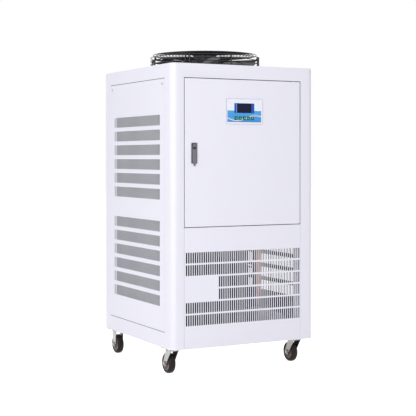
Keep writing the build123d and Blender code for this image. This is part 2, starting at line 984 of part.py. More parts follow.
def castor_places():
    """Castor positions by name: (x, y, swivels)."""
    x = right - castor_inset_x
    return {
        "front_left": (-x, front + front_castor_inset_y, True),
        "front_right": (x, front + front_castor_inset_y, True),
        "rear_left": (-x, rear - rear_castor_inset_y, False),
        "rear_right": (x, rear - rear_castor_inset_y, False),
    }


def castor_bolt_places():
    """Every hole of the castors' top plates."""
    half = bolt_spacing / 2
    return [
        (x + dx, y + dy)
        for x, y, _ in castor_places().values()
        for dx in (-half, half)
        for dy in (-half, half)
    ]


def castor_bolts():
    """Hexagon-head bolts that hold the castors to the base pan."""
    bolts = []
    plate_under = floor_of_cabinet - top_plate_thickness
    for x, y in castor_bolt_places():
        head = hexagon_bar((x, y, plate_under - 3.5), (x, y, plate_under), 10)
        shank = rod((x, y, plate_under - 0.5), (x, y, pan_top + bolt_head), bolt_radius)
        nut = hexagon_bar((x, y, pan_top), (x, y, pan_top + bolt_head), 10)
        bolts.append(one(head + shank + nut))
    return bolts


def castor_top_plate(x, y):
    """Square top plate with rounded corners and four bolt holes."""
    under = floor_of_cabinet - top_plate_thickness
    plate = extrude(Pos(x, y, under) * RectangleRounded(top_plate, top_plate, 6), top_plate_thickness)
    half = bolt_spacing / 2
    for dx in (-half, half):
        for dy in (-half, half):
            plate -= rod((x + dx, y + dy, under - 1), (x + dx, y + dy, under + 9), bolt_radius + 0.2)
    return plate


def swivel_plate(x, y):
    """Top plate of a swivel castor with its pressed ball race and kingpin."""
    under = floor_of_cabinet - top_plate_thickness
    race = rod((x, y, under - race_height), (x, y, under + 0.5), race_radius)
    race = fillet(race.edges().sort_by(Axis.Z)[0], 3)
    pin_low = under - race_height - swivel_gap - 7
    pin = rod((x, y, pin_low), (x, y, under), kingpin_radius)
    return one(castor_top_plate(x, y) + race + pin)


def fork_side(x, y, wheel_y, z_top):
    """One fork leg, tapering from the head to the axle eye, as a flat face at x."""
    plane = Plane(origin=(x, 0, 0), x_dir=(0, 1, 0), z_dir=(1, 0, 0))
    eye = Pos(wheel_y, wheel_radius) * Circle(11)
    head = 21.0
    web = make_face(
        Polyline(
            (y - head, z_top),
            (y + head, z_top),
            (wheel_y + 10.6, wheel_radius + 3),
            (wheel_y - 10.6, wheel_radius - 3),
            close=True,
        )
    )
    return plane * (web + eye)


def fork(x, y, wheel_y, z_top, head_radius):
    """Pressed fork: round head and two legs around the wheel."""
    inner = wheel_width / 2 + fork_side_gap
    head = rod((x, y, z_top - fork_wall), (x, y, z_top), head_radius)
    legs = [
        extrude(fork_side(x + start, y, wheel_y, z_top), fork_wall, dir=(1, 0, 0))
        for start in (-inner - fork_wall, inner)
    ]
    body = head + legs[0] + legs[1]
    body -= rod(
        (x - 30, wheel_y, wheel_radius), (x + 30, wheel_y, wheel_radius), axle_radius + axle_fit
    )
    return body


def swivel_fork(x, y):
    """Fork of a swivel castor, trailing to the rear."""
    z_top = floor_of_cabinet - top_plate_thickness - race_height - swivel_gap
    body = fork(x, y, y + castor_trail, z_top, race_radius + 1)
    body -= rod((x, y, z_top - 20), (x, y, z_top + 1), kingpin_radius + kingpin_fit)
    return one(body)


def fixed_fork(x, y):
    """Fork of a fixed castor, folded from its top plate."""
    under = floor_of_cabinet - top_plate_thickness
    inner = wheel_width / 2 + fork_side_gap
    body = castor_top_plate(x, y)
    for start in (-inner - fork_wall, inner):
        body += extrude(fork_side(x + start, y, y, under + 0.5), fork_wall, dir=(1, 0, 0))
    body -= rod((x - 30, y, wheel_radius), (x + 30, y, wheel_radius), axle_radius + axle_fit)
    return one(body)


def castor_axle(x, wheel_y):
    """Axle bolt with its head and nut outside the fork legs."""
    reach = wheel_width / 2 + fork_side_gap + fork_wall + 0.2
    bolt = rod((x - reach - 5, wheel_y, wheel_radius), (x + reach + 5, wheel_y, wheel_radius), axle_radius)
    for side in (-1, 1):
        bolt += hexagon_bar(
            (x + side * reach, wheel_y, wheel_radius), (x + side * (reach + 4.5), wheel_y, wheel_radius), 13
        )
    return one(bolt)


def wheel_hub(x, wheel_y):
    """Hub moulding: bearing boss, dished web and rim with side flanges."""
    half = wheel_width / 2
    boss = half + fork_side_gap - 0.3
    bore = axle_radius + axle_fit
    profile = Polyline(
        (bore, -boss),
        (9, -boss),
        (10, -half + 5),
        (hub_radius - 4, -half + 3),
        (hub_radius, -half + 1),
        (hub_radius, half - 1),
        (hub_radius - 4, half - 3),
        (10, half - 5),
        (9, boss),
        (bore, boss),
        close=True,
    )
    hub = revolve(make_face(Plane.XZ * profile), axis=Axis.Z)
    return one(Pos(x, wheel_y, wheel_radius) * Rot(0, 90, 0) * hub)


def wheel_tyre(x, wheel_y):
    """Rubber tread, crowned and rounded at its shoulders."""
    half = wheel_width / 2
    inner = hub_radius + 0.02
    shoulder = 6.0
    with BuildPart() as tyre:
        with BuildSketch(Plane.XZ):
            with BuildLine():
                Line((inner, -half + 1), (hub_flange, -half))
                Line((hub_flange, -half), (wheel_radius - shoulder, -half))
                ThreePointArc(
                    (wheel_radius - shoulder, -half),
                    (wheel_radius, 0),
                    (wheel_radius - shoulder, half),
                )
                Polyline(
                    (wheel_radius - shoulder, half), (hub_flange, half), (inner, half - 1), (inner, -half + 1)
                )
            make_face()
        revolve(axis=Axis.Z)
    return one(Pos(x, wheel_y, wheel_radius) * Rot(0, 90, 0) * tyre.part)


def condenser(side, z_bottom):
    """Finned coil with its two tube sheets, behind a side panel; side is -1 left or +1 right."""
    outer = right - 2 * skin - fold_gap
    y0 = fan_y - coil_length / 2
    y1 = fan_y + coil_length / 2
    low, high = floor_of_cabinet + z_bottom, floor_of_cabinet + coil_top
    xs = sorted((side * (outer - coil_standoff), side * (outer - coil_standoff - coil_thickness)))
    core = block(xs[0], xs[1], y0, y1, low + 2, high - 2)
    sheet = sorted((side * outer, side * (outer - 2 * coil_standoff - coil_thickness)))
    coil = core
    for y in (y0, y1 - coil_plate):
        coil += block(sheet[0], sheet[1], y, y + coil_plate, low, high)
    foot = sorted((side * outer, side * (outer - 2)))
    for y in (y0 - 14, y1 - 2):
        coil += block(foot[0], foot[1], y, y + 16, low, high)
    return one(coil)


def compressor():
    """Welded compressor shell: drawn body with domed ends on a foot plate."""
    low = pan_top + foot_pad_height
    r, h, dome = compressor_radius, compressor_height, compressor_dome
    dome_radius = (r**2 + dome**2) / (2 * dome)
    half_way = math.sqrt(dome_radius**2 - (r / 2) ** 2)
    with BuildPart() as shell:
        with BuildSketch(Plane.XZ):
            with BuildLine():
                Polyline((0, low + 6), (r - 22, low + 6), (r, low + 28))
                Line((r, low + 28), (r, low + h - dome))
                ThreePointArc((r, low + h - dome), (r / 2, low + h - dome_radius + half_way), (0, low + h))
                Line((0, low + h), (0, low + 6))
            make_face()
        revolve(axis=Axis.Z)
    half = foot_spacing / 2 + 14
    plate = extrude(
        Pos(0, 0, low) * RectangleRounded(2 * half, 2 * half, 20), amount=6.5
    )
    for dx in (-foot_spacing / 2, foot_spacing / 2):
        for dy in (-foot_spacing / 2, foot_spacing / 2):
            plate -= rod((dx, dy, low - 1), (dx, dy, low + 8), 5.3)
    return one(Pos(compressor_x, compressor_y, 0) * (shell.part + plate))


def compressor_feet():
    """Rubber grommets under and through the compressor's foot plate."""
    feet = []
    for dx in (-foot_spacing / 2, foot_spacing / 2):
        for dy in (-foot_spacing / 2, foot_spacing / 2):
            x, y = compressor_x + dx, compressor_y + dy
            pad = rod((x, y, pan_top), (x, y, pan_top + foot_pad_height), foot_pad_radius)
            neck = rod((x, y, pan_top + 2), (x, y, pan_top + foot_pad_height + 10), 5)
            feet.append(one(pad + neck))
    return feet


def tank_bounds():
    """The water tank's block."""
    x0, y0 = left + tank_left, front + tank_front
    return x0, x0 + tank_width, y0, y0 + tank_length, pan_top, pan_top + tank_height


def water_tank():
    """Closed water tank with rounded upright edges, a lid rim and its rear filler neck."""
    x0, x1, y0, y1, z0, z1 = tank_bounds()
    centre = Pos((x0 + x1) / 2, (y0 + y1) / 2, z0)
    body = extrude(centre * RectangleRounded(tank_width, tank_length, 18), tank_height - 6)
    rim = RectangleRounded(tank_width + 8, tank_length + 8, 20)
    lid = extrude(centre * Pos(0, 0, tank_height - 6) * rim, 6)
    z = floor_of_cabinet + filler_z - filler_radius - 40
    neck_z = floor_of_cabinet + filler_z
    end = rear + filler_length
    neck = pipe(
        [(return_x, y1 - 5, z), (return_x, y1 + 70, z), (return_x, rear - 70, neck_z), (return_x, end, neck_z)],
        filler_radius - 2,
        40,
    )
    return one(body + lid + neck)


def filler_cap():
    """Screw cap of the filler neck, with finger grips."""
    neck_z = floor_of_cabinet + filler_z
    end = rear + filler_length
    cap = rod((return_x, end - cap_height + 6, neck_z), (return_x, end + 6, neck_z), cap_radius)
    cap = chamfer(cap.edges().sort_by(Axis.Y)[-1], 2)
    cap -= rod((return_x, end - cap_height, neck_z), (return_x, end + 0.3, neck_z), filler_radius - 2 + 0.3)
    for index in range(cap_grips):
        angle = math.radians(360 / cap_grips * index)
        x = return_x + (cap_radius + 3) * math.cos(angle)
        z = neck_z + (cap_radius + 3) * math.sin(angle)
        cap -= rod((x, end - cap_height, z), (x, end + 7, z), 6)
    return one(cap)


def water_pump():
    """Close-coupled circulation pump: motor, volute and foot."""
    axis_z = pan_top + pump_foot + pump_radius
    y0 = front + pump_front
    motor = rod((port_x, y0 + 50, axis_z), (port_x, y0 + pump_length, axis_z), pump_radius)
    motor = fillet(motor.edges().sort_by(Axis.Y)[-1], 8)
    volute = rod((port_x, y0, axis_z), (port_x, y0 + 45, axis_z), pump_radius - 4)
    neck = rod((port_x, y0 + 40, axis_z), (port_x, y0 + 55, axis_z), pump_radius - 14)
    foot = block(port_x - 30, port_x + 30, y0 + 70, y0 + pump_length - 25, pan_top, axis_z)
    inlet = rod((port_x - pump_radius - 6, y0 + 22, axis_z), (port_x, y0 + 22, axis_z), 11)
    return one(motor + volute + neck + foot + inlet)


def water_hoses():
    """Rubber hoses: tank to pump, pump to the outlet port, and return port to the tank."""
    axis_z = pan_top + pump_foot + pump_radius
    _, x1, _, y1, _, _ = tank_bounds()
    pump_y = front + pump_front + 22
    pump_face = port_x - pump_radius - 6 - fold_gap
    first = rod((x1 + fold_gap, pump_y, axis_z), (pump_face, pump_y, axis_z), hose_radius)
    pump_back = front + pump_front + pump_length
    inner = rear - skin - port_nut_length
    second = pipe(
        [
            (port_x, pump_back + fold_gap, axis_z),
            (port_x, pump_back + 70, axis_z),
            (port_x, inner - 70, floor_of_cabinet + port_z),
            (port_x, inner - fold_gap, floor_of_cabinet + port_z),
        ],
        hose_radius,
        60,
    )
    low = floor_of_cabinet + return_z
    third = rod((return_x, y1 + fold_gap, low), (return_x, inner - fold_gap, low), hose_radius)
    return [one(first), one(second), one(third)]


def port_places():
    """(x, z) of the supply and return ports on the rear panel."""
    return [
        (port_x, floor_of_cabinet + port_z),
        (return_x, floor_of_cabinet + return_z),
    ]


def water_ports():
    """Two alike threaded port fittings with their hexagon flanges and inner nuts."""
    ports = []
    for x, z in port_places():
        body = rod((x, rear - skin - port_nut_length, z), (x, rear + port_length, z), port_thread_radius)
        collar = hexagon_bar((x, rear, z), (x, rear + 8, z), 2 * port_nut_radius)
        inner_end = rear - skin - port_nut_length
        nut = hexagon_bar((x, inner_end, z), (x, rear - 2 * skin, z), 2 * port_nut_radius - 4)
        body = body + collar + nut
        body -= rod((x, rear - 30, z), (x, rear + port_length + 1, z), port_bore_radius)
        ports.append(one(body))
    return ports


def drain_valve():
    """Ball valve body on the tank's drain, with its stub through the rear panel."""
    z = floor_of_cabinet + drain_z
    _, _, _, y1, _, _ = tank_bounds()
    y0 = rear + valve_stub
    body = rod((drain_x, y0, z), (drain_x, y0 + valve_length, z), drain_bore_radius + 4)
    body += hexagon_bar((drain_x, y0 + 4, z), (drain_x, y0 + 16, z), 2 * drain_bore_radius + 12)
    mouth = y0 + valve_length
    body += hexagon_bar((drain_x, mouth - 14, z), (drain_x, mouth, z), 2 * drain_bore_radius + 12)
    body += rod((drain_x, y0 + valve_length / 2, z), (drain_x, y0 + valve_length / 2, z + 16), 7)
    body += rod((drain_x, y0 + valve_length / 2, z), (drain_x, y0 + valve_length / 2, z + 24), 3)
    body += rod((drain_x, y1 + fold_gap, z), (drain_x, y0 + 1, z), drain_bore_radius + 3)
    body -= rod((drain_x, y0 + valve_length - 24, z), (drain_x, y0 + valve_length + 1, z), drain_bore_radius)
    return one(body)


def drain_handle():
    """Lever of the drain valve, a bent strip on the valve stem."""
    z = floor_of_cabinet + drain_z
    stem_y = rear + valve_stub + valve_length / 2
    lever = block(drain_x - 9, drain_x + valve_handle_length, stem_y - 8, stem_y + 8, z + 16.3, z + 18.8)
    lever = fillet(lever.edges().filter_by(Axis.Z), 5)
    lever -= rod((drain_x, stem_y, z + 14), (drain_x, stem_y, z + 20), 3 + pin_fit)
    return one(lever)


def cable_gland():
    """Power inlet gland on the rear panel, empty."""
    z = floor_of_cabinet + gland_z
    body = rod((gland_x, rear - skin - 8, z), (gland_x, rear + gland_length, z), gland_radius - 2)
    body += hexagon_bar((gland_x, rear, z), (gland_x, rear + 7, z), 2 * gland_radius)
    body += rod((gland_x, rear + 10, z), (gland_x, rear + gland_length - 2, z), gland_radius)
    body += hexagon_bar((gland_x, rear - skin - 6, z), (gland_x, rear - 2 * skin, z), 2 * gland_radius)
    body -= rod((gland_x, rear - 20, z), (gland_x, rear + gland_length + 1, z), gland_bore_radius)
    return one(body)


def electrical_box():
    """Open-fronted galvanised box behind the door, standing on the rail's shelf."""
    z0 = rail_top
    y0, y1 = return_back + skin + fold_gap + 8, front + box_back
    outer = block(box_left, box_right, y0, y1, z0, z0 + box_height)
    inner = block(box_left + skin, box_right - skin, y0 - 1, y1 - skin, z0 + skin, z0 + box_height - skin)
    return one(outer - inner)


def control_gear():
    """Contactors, a breaker and a terminal block on the box's rear wall."""
    back = front + box_back - skin
    base = rail_top + box_height / 2
    gear = []
    for index in range(3):
        x = box_left + 70 + index * 75
        body = block(x, x + 48, back - 62, back, base, base + 78)
        body += block(x + 6, x + 42, back - 76, back - 60, base + 18, base + 60)
        gear.append(one(body))
    strip = block(box_left + 60, box_right - 60, back - 32, back, base - 130, base - 92)
    gear.append(strip)
    return gear


def discharge_pipe():
    """Copper pipe from the compressor's crown to the right-hand coil."""
    crown = pan_top + foot_pad_height + compressor_height
    coil_face = right - 2 * skin - fold_gap - coil_standoff - coil_thickness
    high = floor_of_cabinet + coil_top - 60
    return pipe(
        [
            (compressor_x, compressor_y, crown + fold_gap),
            (compressor_x, compressor_y, high),
            (coil_face - fold_gap, compressor_y, high),
        ],
        pipe_radius,
        pipe_bend,
    )


def liquid_line():
    """Copper line down from the right-hand coil, through the receiver, to the tank's lid."""
    coil_face = right - 2 * skin - fold_gap - coil_standoff - coil_thickness
    _, x1, _, _, _, tank_top = tank_bounds()
    high = floor_of_cabinet + coil_right_bottom + 40
    low = pan_top + 60
    drop = pipe(
        [
            (coil_face - fold_gap, receiver_y, high),
            (receiver_x, receiver_y, high),
            (receiver_x, receiver_y, low + receiver_height),
        ],
        pipe_radius,
        min(pipe_bend, (coil_face - receiver_x) * 0.8),
    )
    lid_z = low + receiver_height + 8
    body = rod((receiver_x, receiver_y, low), (receiver_x, receiver_y, lid_z), receiver_radius)
    body = chamfer(body.edges().filter_by(GeomType.CIRCLE), 6)
    foot = rod((receiver_x, receiver_y, pan_top), (receiver_x, receiver_y, low + 2), receiver_radius * 0.5)
    over = tank_top + 40
    out = pipe(
        [
            (receiver_x, receiver_y, low + receiver_height * 0.72),
            (receiver_x - 50, receiver_y, low + receiver_height * 0.72),
            (receiver_x - 50, receiver_y, over),
            (x1 - 60, receiver_y, over),
            (x1 - 60, receiver_y, tank_top + fold_gap),
        ],
        capillary_radius,
        20,
    )
    return one(drop + body + foot + out)


def suction_pipe():
    """Wide copper pipe from the tank's evaporator back to the compressor's side."""
    _, x1, _, y1, _, tank_top = tank_bounds()
    over = tank_top + 70
    start_x, start_y = x1 - 60, y1 - 60
    side = compressor_x - compressor_radius - 26
    entry = pan_top + foot_pad_height + compressor_height * 0.55
    return pipe(
        [
            (start_x, start_y, tank_top + fold_gap),
            (start_x, start_y, over),
            (side, compressor_y, over),
            (side, compressor_y, entry),
            (compressor_x - compressor_radius - fold_gap, compressor_y, entry),
        ],
        suction_radius,
        18,
    )


def parts():
    """Every piece by name, with a list where a name stands for a set of alike pieces."""
    made = {
        "cabinet_frame": cabinet_frame(),
        "base_pan": base_pan(),
        "front_grille_panel": front_grille_panel(),
        "side_panel_left": side_panel(left, 1),
        "side_panel_right": side_panel(right, -1),
        "rear_panel": rear_panel(),
        "case_screws": case_screws(),
        "fan_ring": fan_ring(),
        "fan_guard": fan_guard(),
        "fan_motor": fan_motor(),
        "fan_rotor": fan_rotor(),
        "hinge_leaves_frame": hinge_leaves_frame(),
        "hinge_leaves_door": hinge_leaves_door(),
        "door": door(),
        "door_gasket": door_gasket(),
        "controller_housing": controller_housing(),
        "controller_screen": controller_screen(),
        "latch_housing": latch_housing(),
        "latch_button": latch_button(),
        "latch_handle": latch_handle(),
        "latch_bolt": latch_bolt(),
        "castor_bolts": castor_bolts(),
        "condenser_left": condenser(-1, coil_left_bottom),
        "condenser_right": condenser(1, coil_right_bottom),
        "compressor": compressor(),
        "compressor_feet": compressor_feet(),
        "water_tank": water_tank(),
        "filler_cap": filler_cap(),
        "water_pump": water_pump(),
        "water_hoses": water_hoses(),
        "water_ports": water_ports(),
        "drain_valve": drain_valve(),
        "drain_handle": drain_handle(),
        "cable_gland": cable_gland(),
        "electrical_box": electrical_box(),
        "control_gear": control_gear(),
        "discharge_pipe": discharge_pipe(),
        "liquid_line": liquid_line(),
        "suction_pipe": suction_pipe(),
    }
    for index, x in enumerate(key_places(), start=1):
        made[f"controller_key_{index}"] = controller_key(x)
    fixed = []
    for name, (x, y, swivels) in castor_places().items():
        wheel_y = y + castor_trail if swivels else y
        if swivels:
            made[f"castor_plate_{name}"] = swivel_plate(x, y)
            made[f"castor_fork_{name}"] = swivel_fork(x, y)
            made[f"castor_axle_{name}"] = castor_axle(x, wheel_y)
        else:
            fixed.append((x, y))
        made[f"castor_hub_{name}"] = wheel_hub(x, wheel_y)
        made[f"castor_tyre_{name}"] = wheel_tyre(x, wheel_y)
    made["castor_forks_rear"] = [fixed_fork(x, y) for x, y in fixed]
    made["castor_axles_rear"] = [castor_axle(x, y) for x, y in fixed]
    return made


def main():
    """Write one STEP file for each piece."""
    os.makedirs("parts", exist_ok=True)
    for name, shape in parts().items():
        solid = Compound(children=shape) if isinstance(shape, list) else shape
        export_step(solid, f"parts/{name}.step")


main()
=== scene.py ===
"""Looks of a floor-standing recirculating chiller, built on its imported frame.

All sizes are in metres, in the frame's own axes: +X right, +Y rear, +Z up.
"""

import json
import logging
import math
from contextlib import contextmanager
from dataclasses import dataclass, field
from enum import Enum
from typing import Callable, Iterator, Sequence

import bmesh
import bpy
from mathutils import Matrix, Vector

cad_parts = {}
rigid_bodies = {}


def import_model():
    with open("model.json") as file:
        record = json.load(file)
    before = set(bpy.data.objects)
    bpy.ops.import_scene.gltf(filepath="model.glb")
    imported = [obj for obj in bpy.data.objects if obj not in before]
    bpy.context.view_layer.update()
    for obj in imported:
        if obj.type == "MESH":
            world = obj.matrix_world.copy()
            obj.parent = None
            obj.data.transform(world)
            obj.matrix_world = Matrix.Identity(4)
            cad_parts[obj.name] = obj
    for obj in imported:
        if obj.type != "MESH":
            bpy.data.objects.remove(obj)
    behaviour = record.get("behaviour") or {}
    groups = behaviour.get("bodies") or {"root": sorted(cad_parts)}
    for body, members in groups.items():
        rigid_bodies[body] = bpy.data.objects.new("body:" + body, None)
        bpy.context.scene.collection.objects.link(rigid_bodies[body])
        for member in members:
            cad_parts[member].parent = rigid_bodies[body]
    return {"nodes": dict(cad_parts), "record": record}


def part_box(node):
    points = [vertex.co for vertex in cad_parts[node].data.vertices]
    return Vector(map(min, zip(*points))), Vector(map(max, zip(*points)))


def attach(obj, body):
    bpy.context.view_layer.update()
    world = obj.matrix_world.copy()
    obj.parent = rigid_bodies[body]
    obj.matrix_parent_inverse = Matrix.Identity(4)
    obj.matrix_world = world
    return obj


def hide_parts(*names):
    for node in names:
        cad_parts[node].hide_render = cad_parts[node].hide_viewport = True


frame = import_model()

log = logging.getLogger("chiller")

Colour = tuple[float, float, float]
Point = tuple[float, float, float]

CABINET = "cabinet"
DUST_COLOUR: Colour = (0.62, 0.60, 0.57)
DRAWN_STRETCH = 0.03
FACING = 0.9


class Axis(Enum):
    """A direction along which a finish is drawn out or striped."""

    X = 0
    Y = 1
    Z = 2


class Wall(Enum):
    """The upright walls that carry slotted panels."""

    FRONT = "front_grille_panel"
    LEFT = "side_panel_left"
    RIGHT = "side_panel_right"
    REAR = "rear_panel"


def clear_selection() -> None:
    """Leave edit mode and deselect everything."""
    active = bpy.context.view_layer.objects.active
    if active is not None and active.mode != "OBJECT":
        bpy.ops.object.mode_set(mode="OBJECT")
    bpy.ops.object.select_all(action="DESELECT")


def choose(*pieces: bpy.types.Object) -> None:
    """Select these objects alone, with the first of them active.

    Args:
        pieces: The objects, the one that becomes active first.
    """
    clear_selection()
    for piece in pieces:
        piece.select_set(True)
    bpy.context.view_layer.objects.active = pieces[0]


def added(name: str) -> bpy.types.Object:
    """Name the primitive that was just added.

    Args:
        name: The piece's name.

    Returns:
        The new object.
    """
    piece = bpy.context.object
    piece.name = name
    piece.data.name = name
    return piece


@contextmanager
def shaping(piece: bpy.types.Object, mode: str = "FACE") -> Iterator[None]:
    """Shape a piece in edit mode.

    Args:
        piece: The mesh object to shape.
        mode: What is selected: VERT, EDGE or FACE.
    """
    choose(piece)
    bpy.ops.object.mode_set(mode="EDIT")
    bpy.ops.mesh.select_mode(type=mode)
    yield
    bpy.ops.object.mode_set(mode="OBJECT")


def pick_faces(piece: bpy.types.Object, test: Callable[[Vector, Vector], bool]) -> int:
    """Select the faces of a piece in edit mode by their place and normal.

    Args:
        piece: The object in edit mode.
        test: Says whether a face with this middle and normal is wanted.

    Returns:
        How many faces are selected.
    """
    mesh = bmesh.from_edit_mesh(piece.data)
    chosen = [f for f in mesh.faces if test(f.calc_center_median(), f.normal)]
    bpy.ops.mesh.select_all(action="DESELECT")
    for face in chosen:
        face.select_set(True)
    mesh.select_flush_mode()
    bmesh.update_edit_mesh(piece.data)
    return len(chosen)


def apply_modifier(piece: bpy.types.Object, kind: str, **settings: object) -> None:
    """Add a modifier to a piece with these settings and apply it.

    Args:
        piece: The object.
        kind: Blender's name of the modifier.
        settings: Its properties and their values.
    """
    choose(piece)
    modifier = piece.modifiers.new(kind.title(), kind)
    for key, value in settings.items():
        setattr(modifier, key, value)
    bpy.ops.object.modifier_apply(modifier=modifier.name)


def soften(piece: bpy.types.Object, width: float, segments: int, degrees: float) -> None:
    """Round a piece's edges that are sharper than an angle."""
    limit = math.radians(degrees)
    apply_modifier(piece, "BEVEL", width=width, segments=segments, limit_method="ANGLE", angle_limit=limit)


def settle(piece: bpy.types.Object) -> None:
    """Put a piece's place, turn and size into its mesh."""
    choose(piece)
    bpy.ops.object.transform_apply(location=True, rotation=True, scale=True)


def tidy_surface(piece: bpy.types.Object, merge: float = 1e-6) -> None:
    """Merge a piece's doubles and turn its faces outwards.

    Args:
        piece: The object.
        merge: Points closer than this become one.
    """
    with shaping(piece):
        bpy.ops.mesh.select_all(action="SELECT")
        bpy.ops.mesh.remove_doubles(threshold=merge)
        bpy.ops.mesh.normals_make_consistent(inside=False)


def smooth(piece: bpy.types.Object, degrees: float = 35.0) -> None:
    """Shade a piece smooth up to an angle, with its flats kept flat.

    Args:
        piece: The object.
        degrees: Edges sharper than this stay sharp.
    """
    choose(piece)
    bpy.ops.object.shade_smooth_by_angle(angle=math.radians(degrees))
    apply_modifier(piece, "WEIGHTED_NORMAL", keep_sharp=True, weight=80)


def twin(piece: bpy.types.Object, place: Matrix) -> bpy.types.Object:
    """A copy of a piece with its own mesh, moved by a matrix.

    Args:
        piece: The object to copy.
        place: Where the copy goes, applied to its mesh.

    Returns:
        The copy.
    """
    choose(piece)
    bpy.ops.object.duplicate(linked=False)
    copy = bpy.context.object
    copy.data.transform(place)
    return copy


def joined(name: str, pieces: Sequence[bpy.types.Object]) -> bpy.types.Object:
    """Join objects into one piece with this name.

    Args:
        name: The piece's name.
        pieces: The objects to join, the one that takes the others in first.

    Returns:
        The one object.
    """
    choose(*pieces)
    if len(pieces) > 1:
        bpy.ops.object.join()
    return added(name)


def remove(*pieces: bpy.types.Object) -> None:
    """Delete objects that were only patterns for copies."""
    for piece in pieces:
        bpy.data.objects.remove(piece, do_unlink=True)


class Nodes:
    """A small bench for joining up the nodes of one tree."""

    def __init__(self, tree: bpy.types.NodeTree) -> None:
        """Start on an empty tree."""
        self.tree = tree

    def add(self, kind: str, **settings: object) -> bpy.types.Node:
        """Add a node of a kind with these properties.

        Args:
            kind: Blender's name of the node.
            settings: Its properties and their values.

        Returns:
            The node.
        """
        node = self.tree.nodes.new(kind)
        for key, value in settings.items():
            setattr(node, key, value)
        return node

    def feed(self, socket: bpy.types.NodeSocket, value: object) -> None:
        """Join a socket to another one, or set its value.

        Args:
            socket: The input to fill.
            value: A socket or a plain value.
        """
        if isinstance(value, bpy.types.NodeSocket):
            self.tree.links.new(value, socket)
        else:
            socket.default_value = value

    def maths(
        self, operation: str, first: object, second: object = 0.0, third: object = 0.0
    ) -> bpy.types.NodeSocket:
        """One sum on two or three values.

        Args:
            operation: Blender's name of the sum.
            first: A socket or number.
            second: A socket or number.
            third: A socket or number.

        Returns:
            The result's socket.
        """
        node = self.add("ShaderNodeMath", operation=operation)
        for socket, value in zip(node.inputs, (first, second, third)):
            self.feed(socket, value)
        return node.outputs[0]

    def blend(self, factor: object, first: object, second: object) -> bpy.types.NodeSocket:
        """A colour between two colours.

        Args:
            factor: How far towards the second colour, from 0 to 1.
            first: A colour or its socket.
            second: A colour or its socket.

        Returns:
            The mixed colour's socket.
        """
        node = self.add("ShaderNodeMix", data_type="RGBA")
        self.feed(node.inputs[0], factor)
        self.feed(node.inputs[6], first)
        self.feed(node.inputs[7], second)
        return node.outputs[2]

    def noise(self, place: object, scale: object, detail: float, rough: float = 0.5) -> bpy.types.NodeSocket:
        """A noise value between 0 and 1 at a place.

        Args:
            place: The place that the pattern reads.
            scale: How many cells go into a metre.
            detail: How many finer layers are added.
            rough: How strong the finer layers are.

        Returns:
            The noise's socket.
        """
        node = self.add("ShaderNodeTexNoise")
        self.feed(node.inputs["Vector"], place)
        self.feed(node.inputs["Scale"], scale)
        self.feed(node.inputs["Detail"], detail)
        self.feed(node.inputs["Roughness"], rough)
        return node.outputs["Fac"]

    def split(self, place: object) -> Sequence[bpy.types.NodeSocket]:
        """The three parts of a vector.

        Args:
            place: The vector or its socket.

        Returns:
            The sockets of X, Y and Z.
        """
        node = self.add("ShaderNodeSeparateXYZ")
        self.feed(node.inputs[0], place)
        return node.outputs

    def here(self) -> bpy.types.NodeSocket:
        """The place in the object's own axes."""
        return self.add("ShaderNodeTexCoord").outputs["Object"]

    def between(self, value: object, low: float, high: float) -> bpy.types.NodeSocket:
        """One where a value lies between two limits, else zero.

        Args:
            value: A socket or a plain value.
            low: The lower limit.
            high: The upper limit.

        Returns:
            The mask's socket.
        """
        over = self.maths("GREATER_THAN", value, low)
        under = self.maths("LESS_THAN", value, high)
        return self.maths("MULTIPLY", over, under)

    def patch(self, across: object, up: object, limits: Sequence[float]) -> bpy.types.NodeSocket:
        """One inside an upright rectangle, else zero.

        Args:
            across: The value along the rectangle's width.
            up: The value along its height.
            limits: Left, right, bottom and top.

        Returns:
            The mask's socket.
        """
        wide = self.between(across, limits[0], limits[1])
        high = self.between(up, limits[2], limits[3])
        return self.maths("MULTIPLY", wide, high)


def rgba(colour: Colour) -> tuple[float, float, float, float]:
    """A colour with full alpha."""
    return (*colour, 1.0)


def start_group(
    name: str, sockets: Sequence[tuple[str, str, str]]
) -> tuple[Nodes, bpy.types.Node, bpy.types.Node]:
    """Start a shared node group.

    Args:
        name: The group's name.
        sockets: Each socket's name, kind and direction.

    Returns:
        The group's bench, its input node and its output node.
    """
    tree = bpy.data.node_groups.new(name, "ShaderNodeTree")
    for socket, kind, way in sockets:
        tree.interface.new_socket(name=socket, in_out=way, socket_type=kind)
    bench = Nodes(tree)
    return bench, bench.add("NodeGroupInput"), bench.add("NodeGroupOutput")


